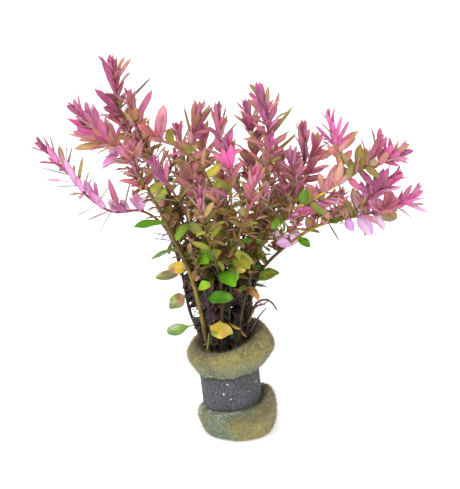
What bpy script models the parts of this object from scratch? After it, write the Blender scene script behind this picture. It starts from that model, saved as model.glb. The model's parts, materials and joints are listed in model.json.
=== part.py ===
# Bunch of rotala: cut leafy stems in a foam plug that a ceramic ring grips.
# Metres, +Z up. The origin is on the floor, under the middle of the plug's foot.
# Left and right are -X and +X, the front is -Y. Lists of places are in millimetres.

import math

import bpy
import bmesh
from mathutils import Matrix, Vector
from mathutils.bvhtree import BVHTree

MM = 0.001

# The ceramic ring and the way it leans on the plug
RING_HEIGHT = 17 * MM
RING_OUTER_RADIUS = 14.8 * MM
RING_INNER_RADIUS = 11.7 * MM
RING_CHAMFER = 0.9 * MM
RING_SIDES = 28
RING_CENTRE = Vector((-3.4, 0, 23.2)) * MM
HOLDER_LEAN = math.radians(7)

# The foam plug, turned round the ring's own axis: radius, height over the ring's middle, shift.
# It starts in the middle of the foot and ends in the middle of the hollow's floor.
FOAM_SIDES = 22
FOAM_FLOOR = 2 * MM  # foam left under the cut ends
FOAM_PROFILE = [
    (0.0, -27.0, 0.0),
    (14.0, -27.0, 1.5),
    (17.8, -21.0, 1.9),
    (19.6, -16.0, 1.9),
    (19.6, -12.5, 1.8),
    (17.6, -9.8, 1.0),
    (15.4, -9.2, 0.0),
    (13.5, -8.9, 0.0),
    (11.3, -8.9, 0.0),
    (11.3, 8.9, 0.0),
    (14.2, 8.9, 0.0),
    (17.2, 12.5, 1.0),
    (20.4, 18.0, 2.0),
    (21.6, 23.0, 2.2),
    (19.8, 27.0, 2.0),
    (16.4, 28.4, 1.2),
    (13.4, 25.0, 0.6),
    (10.0, 16.0, 0.3),
    (8.2, 9.0, 0.0),
    (8.2, -27.0, 0.0),
    (0.0, -27.0, 0.0),
]
FOAM_LUMP = 0.035  # share of the radius by which the lobes swell and shrink
MOUTH_HEIGHT = 0.88  # share of its profile's height to which the upper lobe stands up
MOUTH_TO_RIGHT = 0.12  # more of it on the right and less on the left
MOUTH_TO_BACK = 0.14  # more of it at the back and less at the front
SIDE_BULGE = 5 * MM  # how far the lower lobe swells up past the ring's edge on the right

# Stems
STEM_FOOT = 2.3 * MM  # height of the cut ends over the floor
STEM_RADIUS = 1.2 * MM
STEM_TIP_RADIUS = 0.55 * MM
BRANCH_RADIUS = 0.9 * MM
SLOT_RADIUS = 6.2 * MM  # outer circle of stems in the plug
INNER_SLOT_RADIUS = 3.0 * MM
STATION = 28 * MM  # longest piece of bare stem between two sections
STATION_BEND = math.radians(11)  # a section is added where the stem has turned by this
TIP_TRIM = 5 * MM  # the stem ends this far short of its route's end, which the leaves' tips reach
TOP_LEAFLESS = 1.2 * MM  # from the tip down to the first whorl
WHORL_GAP = 2.2 * MM  # between the two youngest whorls
WHORL_STRETCH = 0.75 * MM  # added to each gap on the way down
WHORL_GAP_MOST = 8.5 * MM
WHORL_HEIGHT = 1.1 * MM  # length of stem that a whorl's leaf bases take
SPLAY_FIRST = math.radians(13)  # angle between the youngest leaves and the stem
SPLAY_STEP = math.radians(9)
SPLAY_MOST = math.radians(72)
RECURVE = math.radians(9)  # the outer half of a leaf bends back by this

# Leaves
LEAF_LENGTH = 12.5 * MM
LEAF_WIDTH = 3.0 * MM
LEAF_THICKNESS = 0.7 * MM
YOUNG_SHARE = 0.5  # the youngest leaf's length beside a grown one's
YOUNG_STEP = 0.16
CLEARANCE = 0.3 * MM  # kept between neighbours
BLADE_SIDES = 8

# Each main stem: its slot in the plug (outer circle or not, direction in degrees), its route
# from the plug's mouth to its tip, and how many whorls it carries.
STEMS = {
    "shoot_long_left": (True, 180, 8, [
        (-18, 0, 48), (-24, 4, 61), (-28, 8, 80), (-35, 11, 100), (-47, 11, 110),
        (-61, 9, 110), (-73, 7, 118), (-85, 6, 133), (-97, 4, 146)]),
    "shoot_left_front": (True, 210, 8, [
        (-15, -6, 47), (-18, -10, 64), (-23, -13, 85), (-31, -14, 103), (-40, -14, 122),
        (-50, -13, 139), (-58, -12, 148), (-68, -11, 157), (-78, -9, 166)]),
    "shoot_left_pink": (False, 180, 7, [
        (-13, -2, 46), (-19, -1, 68), (-25, 0, 87), (-36, 2, 109), (-47, 4, 129),
        (-55, 4, 139), (-66, 2, 149), (-77, 0, 157)]),
    "shoot_left_tall": (True, 150, 8, [
        (-15, 5, 47), (-16, 8, 65), (-22, 11, 85), (-32, 13, 109), (-42, 13, 132),
        (-51, 12, 146), (-57, 11, 158), (-59, 9, 173), (-61, 8, 185)]),
    "shoot_left_inner": (False, 120, 8, [
        (-12, 3, 48), (-15, 4, 66), (-20, 4, 89), (-31, 4, 115), (-42, 3, 140),
        (-48, 0, 153), (-50, -2, 163), (-52, -3, 171)]),
    "shoot_left_magenta": (True, 240, 6, [
        (-12, -10, 48), (-15, -16, 74), (-21, -22, 98), (-25, -27, 120),
        (-33, -30, 133), (-40, -32, 146)]),
    "shoot_arching": (True, 270, 7, [
        (-8, -10, 47), (-8, -14, 73), (-10, -18, 102), (-12, -22, 127), (-18, -24, 141),
        (-27, -25, 149), (-36, -27, 153), (-44, -28, 159)]),
    "shoot_mid_left": (False, 240, 7, [
        (-9, -5, 48), (-12, -1, 72), (-17, 2, 103), (-23, 1, 129), (-24, 0, 143),
        (-20, -1, 155), (-18, -1, 165)]),
    "shoot_mid_low": (False, 60, 7, [
        (-8, 4, 48), (-10, 9, 72), (-15, 14, 101), (-17, 15, 129), (-16, 14, 153)]),
    "shoot_mid_tall": (False, None, 8, [
        (-7, 0, 48), (-7, -2, 74), (-7, -5, 110), (-8, -6, 139), (-10, -6, 165)]),
    "shoot_mid_pink": (False, 300, 7, [
        (-5, -5, 46), (-4, -12, 72), (-3, -24, 108), (-4, -31, 137), (-5, -34, 156)]),
    "shoot_right_tall": (False, 0, 9, [
        (-3, 0, 49), (1, 0, 75), (7, 0, 106), (14, -2, 131), (14, -4, 153), (9, -5, 175)]),
    "shoot_right_tall_back": (True, 60, 7, [
        (-2, 6, 49), (-1, 12, 72), (4, 17, 103), (8, 19, 128), (7, 20, 148), (3, 20, 163)]),
    "shoot_right_upright": (True, 30, 8, [
        (1, 4, 50), (5, 9, 74), (13, 16, 101), (25, 20, 119), (32, 20, 130),
        (33, 19, 140), (31, 18, 152)]),
    "shoot_right_short": (True, 0, 7, [
        (3, 0, 51), (7, 1, 75), (14, 4, 102), (26, 6, 119), (34, 6, 132), (38, 4, 149)]),
    "shoot_right_yellow": (True, 300, 8, [
        (0, -9, 49), (3, -12, 72), (11, -15, 101), (22, -16, 115), (39, -16, 125),
        (54, -15, 134), (63, -13, 143), (67, -12, 153)]),
    "shoot_right_low": (True, 330, 8, [
        (4, -5, 51), (6, -7, 70), (11, -8, 85), (24, -7, 98), (39, -5, 107),
        (57, -3, 111), (75, -1, 115), (88, 0, 123)]),
    "shoot_back": (True, 90, 7, [
        (-5, 10, 50), (-3, 22, 68), (1, 38, 94), (5, 50, 114), (7, 56, 128)]),
    "shoot_back_left": (True, 120, 7, [
        (-9, 9, 50), (-13, 20, 71), (-20, 36, 97), (-26, 46, 118), (-31, 50, 146)]),
}

# Side shoots: the stem that each one grows from, the place along it, and its own route
BRANCHES = {
    "branch_star": ("shoot_right_yellow", (47, -16, 129), 6, [
        (48, -15, 139), (44, -14, 152), (41, -14, 164)]),
    "branch_outer": ("shoot_right_yellow", (59, -14, 138), 6, [
        (69, -13, 141), (80, -11, 146)]),
    "branch_magenta": ("shoot_right_low", (56, -3, 111), 6, [
        (62, -5, 120), (70, -7, 128), (77, -8, 134)]),
    "branch_inner": ("shoot_right_low", (25, -7, 99), 6, [
        (29, -8, 110), (28, -10, 124), (24, -12, 145)]),
    "branch_back_right": ("shoot_right_tall_back", (1, 15, 88), 7, [
        (8, 27, 100), (17, 38, 114), (23, 44, 134)]),
    "branch_front": ("shoot_mid_pink", (-3, -22, 99), 7, [
        (1, -33, 112), (5, -42, 127), (8, -50, 145)]),
    "branch_front_left": ("shoot_arching", (-9, -16, 88), 6, [
        (-12, -29, 100), (-16, -40, 118), (-18, -47, 134)]),
}

# Large old leaves: the stem, the height of the joint, the way to the tip, the width,
# and the way the blade's face looks
BLADES = {
    "leaf_green_left": ("shoot_left_front", 110, (-14, -1, -2), 5.6, (0, -1, 2), "green"),
    "leaf_narrow_left": ("shoot_left_front", 98, (-12, -2, -5), 2.4, (1, -1, 3), "green"),
    "leaf_yellow_left": ("shoot_left_front", 88, (-9, -2, 1), 5.6, (0, -3, 1), "yellow"),
    "leaf_green_lobe": ("shoot_long_left", 68, (-8, -2, -5), 6.4, (0, -3, 1), "green"),
    "leaf_tan_left": ("shoot_long_left", 80, (-12, 0, -3), 4.8, (0, -3, 1), "green"),
    "leaf_low_left": ("shoot_long_left", 54, (-13, -1, -3), 6.4, (0, -3, 1), "green"),
    "leaf_brown_fold": ("shoot_left_front", 82, (7, -5, 4), 5.2, (1, -2, 1), "tan"),
    "leaf_round_low": ("shoot_left_magenta", 77, (-1, -5, 6), 6.2, (0, -3, 2), "green"),
    "leaf_round_mid": ("shoot_left_magenta", 95, (6, -6, -1), 6.0, (0, -2, 2), "green"),
    "leaf_bright_mid": ("shoot_arching", 86, (7, -10, -4), 6.8, (0, -2, 2), "green"),
    "leaf_bright_low": ("shoot_left_magenta", 74, (12, -5, 1), 7.0, (0, -2, 2), "green"),
    "leaf_mottled_low": ("shoot_arching", 60, (-1, -8, -7), 12.0, (0, -3, 1), "yellow"),
    "leaf_yellow_round": ("shoot_arching", 93, (-2, -6, 4), 5.4, (0, -3, 1), "yellow"),
    "leaf_olive_mid": ("shoot_mid_pink", 96, (8, -6, -4), 5.8, (0, -2, 2), "yellow"),
    "leaf_olive_small": ("shoot_right_yellow", 90, (-8, -5, -1), 4.4, (0, -2, 2), "yellow"),
    "leaf_brown_right": ("shoot_right_yellow", 78, (5, -6, -5), 5.2, (1, -2, 1), "tan"),
    "leaf_green_right": ("shoot_right_low", 83, (9, -4, 1), 5.6, (0, -2, 2), "green"),
    "leaf_under_right": ("shoot_right_low", 101, (5, -5, -3), 4.6, (0, -2, 2), "green"),
    "leaf_low_right": ("shoot_right_low", 109, (-6, -4, 2), 4.4, (0, -2, 2), "green"),
    "leaf_pale_right": ("shoot_right_low", 111, (6, -3, -8), 5.0, (0, -3, 1), "pink"),
    "leaf_pale_mid": ("shoot_right_short", 101, (8, 3, -4), 5.6, (0, -3, 1), "pink"),
    "leaf_over_left": ("shoot_left_magenta", 113, (-5, -6, -6), 5.2, (-1, -2, 1), "green"),
    "leaf_olive_front": ("shoot_arching", 107, (3, -9, -2), 5.2, (0, -2, 2), "yellow"),
    "leaf_yellow_side": ("shoot_right_yellow", 120, (0, -5, 8), 4.6, (0, -3, 1), "green"),
    "leaf_green_joint": ("shoot_right_yellow", 115, (-6, -5, -5), 4.6, (0, -2, 2), "green"),
    "leaf_olive_top": ("shoot_right_yellow", 138, (-3, -4, 9), 5.0, (0, -3, 1), "yellow"),
    "leaf_olive_joint": ("shoot_left_front", 125, (6, -4, 6), 4.6, (0, -3, 1), "yellow"),
    "leaf_green_back": ("shoot_back", 80, (3, 9, -2), 5.4, (0, 1, 2), "green"),
    "leaf_green_back_left": ("shoot_back_left", 84, (-6, 8, -2), 5.2, (0, 1, 2), "green"),
    "leaf_yellow_back": ("shoot_right_tall_back", 76, (6, 8, 1), 5.2, (0, 1, 2), "yellow"),
}
BLADE_THICKNESS = 0.8 * MM

FINISHES = {
    "foam": ((0.42, 0.37, 0.15), 0.95),
    "ceramic": ((0.13, 0.12, 0.13), 0.85),
    "pink": ((0.55, 0.10, 0.24), 0.5),
    "bronze": ((0.33, 0.15, 0.08), 0.5),
    "olive": ((0.26, 0.22, 0.05), 0.5),
    "green": ((0.16, 0.35, 0.04), 0.45),
    "yellow": ((0.48, 0.42, 0.07), 0.45),
    "tan": ((0.42, 0.22, 0.06), 0.5),
}
BRONZE_SHOOTS = {
    "shoot_left_inner", "shoot_mid_left", "shoot_mid_low", "shoot_right_short",
    "shoot_back", "shoot_back_left", "shoot_right_upright", "branch_inner",
    "branch_back_right", "branch_front_left",
}
OLIVE_SHOOTS = {"shoot_right_yellow", "shoot_arching"}


def clear_scene():
    for old in list(bpy.data.objects):
        bpy.data.objects.remove(old)


def finish(name):
    """The material of that name, made on its first use."""
    known = bpy.data.materials.get(name)
    if known:
        return known
    colour, roughness = FINISHES[name]
    made = bpy.data.materials.new(name)
    made.use_nodes = True
    shader = made.node_tree.nodes["Principled BSDF"]
    shader.inputs["Base Color"].default_value = (*colour, 1)
    shader.inputs["Roughness"].default_value = roughness
    shader.inputs["Metallic"].default_value = 0
    return made


def add_object(name, bm, material, smooth=False):
    mesh = bpy.data.meshes.new(name)
    bm.to_mesh(mesh)
    bm.free()
    mesh.materials.append(finish(material))
    if smooth:
        mesh.shade_smooth()
        mesh.set_sharp_from_angle(angle=math.radians(40))
    made = bpy.data.objects.new(name, mesh)
    bpy.context.scene.collection.objects.link(made)
    return made


def holder_frame():
    """From the ring's own frame, its middle at the origin and its axis on +Z, to the part's."""
    return Matrix.Translation(RING_CENTRE) @ Matrix.Rotation(-HOLDER_LEAN, 4, "Y")


HOLDER = holder_frame()
HOLDER_AXIS = (HOLDER.to_3x3() @ Vector((0, 0, 1))).normalized()


def lifted(point, height):
    """A point under that height, slid up along the ring's axis until it lies on it."""
    if point.z >= height:
        return point
    moved = point + HOLDER_AXIS * ((height - point.z) / HOLDER_AXIS.z)
    moved.z = height
    return moved


def turned(bm, profile, sides):
    """A profile of points in the XZ plane, spun once round Z. Returns the profile's vertices."""
    verts = [bm.verts.new(point) for point in profile]
    closed = profile[0].x > 0
    edges = [bm.edges.new((verts[i - 1], verts[i])) for i in range(0 if closed else 1, len(verts))]
    bmesh.ops.spin(bm, geom=verts + edges, cent=(0, 0, 0), axis=(0, 0, 1),
                   angle=math.tau, steps=sides, use_merge=True)


def make_ring():
    half = RING_HEIGHT / 2
    outer, inner = RING_OUTER_RADIUS, RING_INNER_RADIUS
    profile = [
        Vector((inner, 0, -half)),
        Vector((outer - RING_CHAMFER, 0, -half)),
        Vector((outer, 0, RING_CHAMFER - half)),
        Vector((outer, 0, half - RING_CHAMFER)),
        Vector((outer - RING_CHAMFER, 0, half)),
        Vector((inner, 0, half)),
    ]
    bm = bmesh.new()
    turned(bm, profile, RING_SIDES)
    bmesh.ops.recalc_face_normals(bm, faces=bm.faces)
    bm.transform(HOLDER)
    return add_object("ceramic_ring", bm, "ceramic", smooth=True)


def foam_swell(radius, angle, height):
    """How far the lobes stand out or in at a place round the plug: none at the waist."""
    lobe = min(1, max(0, (radius - 14 * MM) / (5 * MM)))
    wave = math.sin(2 * angle + 0.8 + height / (9 * MM)) + 0.6 * math.sin(5 * angle + height / (6 * MM))
    return 1 + FOAM_LUMP * lobe * wave


def foam_rise(radius, angle, height):
    """The height of a place in the profile, once the lobes stand unevenly."""
    waist = 8.9 * MM
    if height > waist:
        share = MOUTH_HEIGHT + MOUTH_TO_RIGHT * math.cos(angle) + MOUTH_TO_BACK * math.sin(angle)
        return waist + (height - waist) * share
    outer = min(1, max(0, (radius - 15.4 * MM) / (2 * MM)))
    upper = min(1, max(0, (height + 21 * MM) / (8 * MM)))
    side = max(0, math.cos(angle - math.radians(25)))
    return height + SIDE_BULGE * outer * upper * side


def make_foam():
    bm = bmesh.new()
    hollow = len(FOAM_PROFILE) - 2
    profile = [Vector((radius, 0, height)) * MM for radius, height, shift in FOAM_PROFILE]
    profile[hollow].z = profile[hollow + 1].z = 0
    turned(bm, profile, FOAM_SIDES)
    bmesh.ops.remove_doubles(bm, verts=bm.verts, dist=1e-6)
    bmesh.ops.recalc_face_normals(bm, faces=bm.faces)
    shifts = {(round(radius, 1), round(height, 1)): shift for radius, height, shift in FOAM_PROFILE}
    for vert in bm.verts:
        radius, height = math.hypot(vert.co.x, vert.co.y), vert.co.z
        if abs(height) < 1e-7:
            low = HOLDER @ Vector((vert.co.x, vert.co.y, FOAM_PROFILE[hollow][1] * MM))
            vert.co = lifted(low, FOAM_FLOOR)
            continue
        shift = shifts[round(radius / MM, 1), round(height / MM, 1)]
        angle = math.atan2(vert.co.y, vert.co.x)
        swell = foam_swell(radius, angle, height)
        vert.co.x = vert.co.x * swell + shift * MM
        vert.co.y *= swell
        vert.co.z = foam_rise(radius, angle, height)
        vert.co = lifted(HOLDER @ vert.co, 0)
    return add_object("foam_plug", bm, "foam", smooth=True)


class Route:
    """A smooth line through points, read by the distance along it."""

    STEPS = 12

    def __init__(self, points):
        ends = [2 * points[0] - points[1], *points, 2 * points[-1] - points[-2]]
        self.points = []
        for before, start, end, after in zip(ends, ends[1:], ends[2:], ends[3:]):
            for step in range(self.STEPS):
                t = step / self.STEPS
                self.points.append(0.5 * (
                    2 * start + (end - before) * t
                    + (2 * before - 5 * start + 4 * end - after) * t * t
                    + (3 * start - before - 3 * end + after) * t ** 3))
        self.points.append(points[-1])
        self.along = [0.0]
        for a, b in zip(self.points, self.points[1:]):
            self.along.append(self.along[-1] + (b - a).length)
        self.length = self.along[-1] - TIP_TRIM

    def at(self, distance):
        """(point, direction) at that distance from the foot."""
        distance = min(max(distance, 0), self.length)
        i = 0
        while i < len(self.along) - 2 and self.along[i + 1] < distance:
            i += 1
        a, b = self.points[i], self.points[i + 1]
        share = (distance - self.along[i]) / (self.along[i + 1] - self.along[i])
        return a.lerp(b, share), (b - a).normalized()

    def nearest(self, target):
        """The distance along the line of its point nearest to the target."""
        i = min(range(len(self.points)), key=lambda n: (self.points[n] - target).length)
        return self.along[i]

    def at_height(self, height):
        """The first distance at which the line reaches that height."""
        i = next(n for n, point in enumerate(self.points) if point.z >= height)
        return self.along[i]


def slot_point(outer, direction, height):
    """A stem's place in the plug, that far over the ring's middle along its axis."""
    if direction is None:
        return HOLDER @ Vector((0, 0, height))
    radius = SLOT_RADIUS if outer else INNER_SLOT_RADIUS
    angle = math.radians(direction)
    return HOLDER @ Vector((radius * math.cos(angle), radius * math.sin(angle), height))


def stem_route(outer, direction, points):
    middle = slot_point(outer, direction, 0)
    foot = middle - HOLDER_AXIS * ((middle.z - STEM_FOOT) / HOLDER_AXIS.z)
    start = [foot, middle, slot_point(outer, direction, RING_HEIGHT / 2)]
    return Route(start + [Vector(point) * MM for point in points])


def branch_route(parent, fork, points):
    """A side shoot's line, which starts just clear of the stem that it grows from."""
    begin, direction = parent.at(parent.nearest(Vector(fork) * MM))
    way = Vector(points[0]) * MM - begin
    outward = (way - direction * way.dot(direction)).normalized()
    clear = STEM_RADIUS + BRANCH_RADIUS + CLEARANCE
    start = begin + outward * clear
    joint = start + (outward + direction) * (1.5 * MM)
    return Route([start, joint] + [Vector(point) * MM for point in points])


def stations(route, end):
    """Distances of the sections that a bare stem needs up to its first whorl."""
    places, since = [], 0
    _, heading = route.at(0)
    step = 2 * MM
    distance = step
    while distance < end - 1.5 * step:
        _, direction = route.at(distance)
        if direction.angle(heading) > STATION_BEND or distance - since > STATION:
            places.append(distance)
            since, heading = distance, direction
        distance += step
    return places + [end]


def whorl_places(route, count):
    """Distances along the stem of its whorls, from the youngest down."""
    places, gap = [route.length - TOP_LEAFLESS], WHORL_GAP
    while len(places) < count and places[-1] - gap > 2 * WHORL_GAP:
        places.append(places[-1] - gap)
        gap = min(gap + WHORL_STRETCH, WHORL_GAP_MOST)
    return places


class Stem:
    """A four-sided stem grown along a route by extruding its end, section by section."""

    def __init__(self, route, radius):
        self.route = route
        self.foot_radius = radius
        self.bm = bmesh.new()
        point, direction = route.at(0)
        self.side = direction.orthogonal().normalized()
        self.direction = direction
        corners = self.section(0, 0)
        self.end = self.bm.faces.new([self.bm.verts.new(corner) for corner in reversed(corners)])
        self.corners = corners
        self.grown = False

    def radius(self, distance):
        share = (distance / self.route.length) ** 2
        return self.foot_radius + (STEM_TIP_RADIUS - self.foot_radius) * share

    def section(self, distance, turn):
        """The four corners of the stem at that distance, turned about its line."""
        point, direction = self.route.at(distance)
        self.side = (self.direction.rotation_difference(direction) @ self.side).normalized()
        self.direction = direction
        radius = self.radius(distance)
        return [point + Matrix.Rotation(turn + i * math.pi / 2, 3, direction) @ self.side * radius
                for i in range(4)]

    def grow(self, distance, turn):
        """Extrudes the end to that distance, and gives the four new side faces."""
        corners = self.section(distance, turn)
        old = self.corners
        made = bmesh.ops.extrude_face_region(self.bm, geom=[self.end])["geom"]
        verts = [item for item in made if isinstance(item, bmesh.types.BMVert)]
        face = next(item for item in made if isinstance(item, bmesh.types.BMFace))
        ordered = [min(verts, key=lambda vert: (vert.co - corner).length) for corner in old]
        if self.grown:
            self.bm.faces.remove(self.end)
        self.grown = True
        for vert, corner in zip(ordered, corners):
            vert.co = corner
        sides = []
        for i in range(4):
            edge = self.bm.edges.get((ordered[i], ordered[(i + 1) % 4]))
            sides.append(next(f for f in edge.link_faces if f is not face))
        self.end, self.corners = face, corners
        return sides


def shape_leaf(base, outward, direction, splay, length, width):
    """The points of a leaf: its middle, its tip, its widthways direction and its face's."""
    rise, reach = math.cos(splay), math.sin(splay)
    heading = direction * rise + outward * reach
    middle = base + heading * (0.45 * length)
    bent = direction * math.cos(splay + RECURVE) + outward * math.sin(splay + RECURVE)
    tip = middle + bent * (0.55 * length)
    across = outward.cross(direction).normalized()
    face = across.cross(heading).normalized()
    if face.dot(direction) < 0:
        face = -face
    return middle, tip, across, face


def tree_of(points, faces):
    return BVHTree.FromPolygons(points, faces)


def leaf_hull(base, middle, tip, across, face, width, margin):
    """A slightly swollen stand-in for a leaf, which shows whether there is room for it."""
    start = base.lerp(middle, 0.3)
    half_width, half_thick = width / 2 + margin, LEAF_THICKNESS / 2 + margin
    end = tip + (tip - middle).normalized() * margin
    points = []
    for centre, share in ((start, 0.6), (middle, 1.0)):
        for x, y in ((-1, -1), (1, -1), (1, 1), (-1, 1)):
            points.append(centre + across * (x * half_width * share) + face * (y * half_thick))
    points.append(end)
    faces = [(0, 1, 2, 3)]
    faces += [(i, (i + 1) % 4, 4 + (i + 1) % 4, 4 + i) for i in range(4)]
    faces += [(4 + i, 4 + (i + 1) % 4, 8) for i in range(4)]
    return tree_of(points, faces)


def grow_leaf(bm, side_face, route_point, direction, splay, length, width, taken):
    """Extrudes one side of the stem into a leaf, where nothing else is in its way."""
    base = side_face.calc_center_median()
    outward = base - route_point
    outward = (outward - direction * outward.dot(direction)).normalized()
    middle, tip, across, face = shape_leaf(base, outward, direction, splay, length, width)
    room = leaf_hull(base, middle, tip, across, face, width, CLEARANCE / 2)
    if any(room.overlap(other) for other in taken):
        return None
    blade = bmesh.ops.extrude_discrete_faces(bm, faces=[side_face])["faces"][0]
    for vert in blade.verts:
        offset = vert.co - base
        x = 1 if offset.dot(across) > 0 else -1
        y = 1 if offset.dot(direction) > 0 else -1
        vert.co = middle + across * (x * width / 2) + face * (y * LEAF_THICKNESS / 2)
    centre = bmesh.ops.poke(bm, faces=[blade])["verts"][0]
    centre.co = tip
    return room


def grow_spike(bm, side_face, route_point, direction, splay, length, taken):
    """Draws one side of the stem out into a young leaf that is still a point."""
    base = side_face.calc_center_median()
    outward = base - route_point
    outward = (outward - direction * outward.dot(direction)).normalized()
    middle, tip, across, face = shape_leaf(base, outward, direction, splay, length, LEAF_WIDTH / 3)
    room = leaf_hull(base, middle, tip, across, face, LEAF_WIDTH / 3, CLEARANCE / 2)
    if any(room.overlap(other) for other in taken):
        return None
    bmesh.ops.poke(bm, faces=[side_face])["verts"][0].co = tip
    return room


def bare_tree(route, radius, whorls):
    """The plain stem as a search tree, swollen by half of the clearance."""
    places = whorl_places(route, whorls)
    lowest = places[-1] - WHORL_HEIGHT
    points, faces = [], []
    for n, distance in enumerate([0] + stations(route, lowest) + places[::-1] + [route.length]):
        point, direction = route.at(distance)
        side = direction.orthogonal().normalized() * (radius + CLEARANCE / 2)
        points += [point + Matrix.Rotation(i * math.pi / 4, 3, direction) @ side for i in range(8)]
        if n:
            first = 8 * (n - 1)
            faces += [(first + i, first + (i + 1) % 8, first + 8 + (i + 1) % 8, first + 8 + i)
                      for i in range(8)]
    return tree_of(points, faces)


def make_shoot(name, route, radius, whorls, taken, phase):
    """A stem with its whorls of leaves as one solid. Returns the room that its leaves take."""
    stem = Stem(route, radius)
    places = whorl_places(route, whorls)
    for distance in stations(route, places[-1] - WHORL_HEIGHT):
        stem.grow(distance, phase)
    rooms = []
    for k in reversed(range(len(places))):
        place = places[k]
        turn = phase + (k % 2) * math.pi / 4
        height = 0.4 * WHORL_GAP if k < 2 else WHORL_HEIGHT
        stem.grow(place - height / 2, turn)
        sides = stem.grow(place + height / 2, turn)
        point, direction = route.at(place)
        splay = min(SPLAY_FIRST + SPLAY_STEP * k, SPLAY_MOST)
        length = LEAF_LENGTH * min(1, YOUNG_SHARE + YOUNG_STEP * k)
        for side_face in sides:
            if k < 2:
                room = grow_spike(stem.bm, side_face, point, direction, splay, length, taken + rooms)
            else:
                room = grow_leaf(stem.bm, side_face, point, direction, splay, length,
                                 LEAF_WIDTH, taken + rooms)
            if room:
                rooms.append(room)
    stem.grow(route.length, phase)
    bmesh.ops.recalc_face_normals(stem.bm, faces=stem.bm.faces)
    add_object(name, stem.bm, shoot_finish(name))
    return rooms


def shoot_finish(name):
    if name in OLIVE_SHOOTS:
        return "olive"
    return "bronze" if name in BRONZE_SHOOTS else "pink"


def blade_mesh(start, heading, length, across, face, width):
    """A thin lens with a rounded outline and pointed ends."""
    bm = bmesh.new()
    rim = bmesh.ops.create_circle(bm, cap_ends=True, segments=BLADE_SIDES, radius=1)["verts"]
    for vert in rim:
        along = 0.5 * (1 - vert.co.x)
        spread = vert.co.y * (0.8 + 0.3 * along) * width / 2
        sag = -0.12 * length * along * along
        vert.co = start + heading * (along * length) + across * spread + face * sag
    top = bmesh.ops.poke(bm, faces=list(bm.faces))["verts"][0]
    copies = bmesh.ops.duplicate(bm, geom=list(bm.faces))["vert_map"]
    copies[top].co -= face * (BLADE_THICKNESS / 2 + 0.03 * length)
    top.co += face * (BLADE_THICKNESS / 2 - 0.03 * length)
    bmesh.ops.remove_doubles(bm, verts=bm.verts, dist=1e-7)
    bmesh.ops.recalc_face_normals(bm, faces=bm.faces)
    return bm


def make_blade(name, route, height, way, width, facing, material, own, taken):
    """An old round leaf as near to its stem as the clearance lets it be."""
    point, direction = route.at(route.at_height(height * MM))
    way = Vector(way) * MM
    outward = (way - direction * way.dot(direction)).normalized()
    heading, length = way.normalized(), way.length
    across = heading.cross(Vector(facing)).normalized()
    face = across.cross(heading).normalized()
    offset, touching = 0.6 * STEM_RADIUS, True
    while touching:
        offset += 0.1 * MM
        start = point + outward * offset
        swollen = blade_mesh(start - heading * (CLEARANCE / 2), heading, length + CLEARANCE,
                             across, face, width * MM + CLEARANCE)
        tree = BVHTree.FromBMesh(swollen)
        swollen.free()
        touching = tree.overlap(own)
    if any(tree.overlap(other) for other in taken):
        print("no room for", name)
    add_object(name, blade_mesh(start, heading, length, across, face, width * MM), material)
    return tree


def main():
    clear_scene()
    make_foam()
    make_ring()
    routes, whorls = {}, {}
    for name, (outer, direction, count, points) in STEMS.items():
        routes[name] = stem_route(outer, direction, points)
        whorls[name] = count
    for name, (parent, fork, count, points) in BRANCHES.items():
        routes[name] = branch_route(routes[parent], fork, points)
        whorls[name] = count
    radii = {name: BRANCH_RADIUS if name in BRANCHES else STEM_RADIUS for name in routes}
    trees = {name: bare_tree(route, radii[name], whorls[name]) for name, route in routes.items()}
    names = list(trees)
    for i, a in enumerate(names):
        for b in names[i + 1:]:
            if trees[a].overlap(trees[b]):
                print("stems touch:", a, b)
    rooms = []
    for name, (stem, height, way, width, facing, material) in BLADES.items():
        others = [tree for key, tree in trees.items() if key != stem]
        rooms.append(make_blade(name, routes[stem], height, way, width, facing, material,
                                trees[stem], others + rooms))
    for n, (name, route) in enumerate(routes.items()):
        others = [tree for key, tree in trees.items() if key != name]
        phase = 0.7 * n
        rooms += make_shoot(name, route, radii[name], whorls[name], others + rooms, phase)


main()
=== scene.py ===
import json
import math
import random

import bmesh
import bpy
from mathutils import Matrix, Vector, noise


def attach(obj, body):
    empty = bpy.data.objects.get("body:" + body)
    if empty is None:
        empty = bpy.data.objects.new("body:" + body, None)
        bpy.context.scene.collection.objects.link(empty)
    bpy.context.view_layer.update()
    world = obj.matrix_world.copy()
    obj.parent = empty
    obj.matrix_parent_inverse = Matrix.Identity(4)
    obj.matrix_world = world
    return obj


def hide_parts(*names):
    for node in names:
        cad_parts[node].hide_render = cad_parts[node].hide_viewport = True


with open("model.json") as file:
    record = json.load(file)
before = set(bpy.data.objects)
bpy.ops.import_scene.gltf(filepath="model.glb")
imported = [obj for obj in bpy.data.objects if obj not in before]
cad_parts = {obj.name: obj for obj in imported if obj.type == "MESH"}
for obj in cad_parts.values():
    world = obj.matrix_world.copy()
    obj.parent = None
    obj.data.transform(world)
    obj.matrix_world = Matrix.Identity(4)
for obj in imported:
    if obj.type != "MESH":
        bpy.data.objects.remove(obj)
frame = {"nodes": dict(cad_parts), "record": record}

mm = 0.001
up = Vector((0, 0, 1))
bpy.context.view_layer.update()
print("frame loaded:", len(frame["nodes"]), "nodes")


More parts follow.
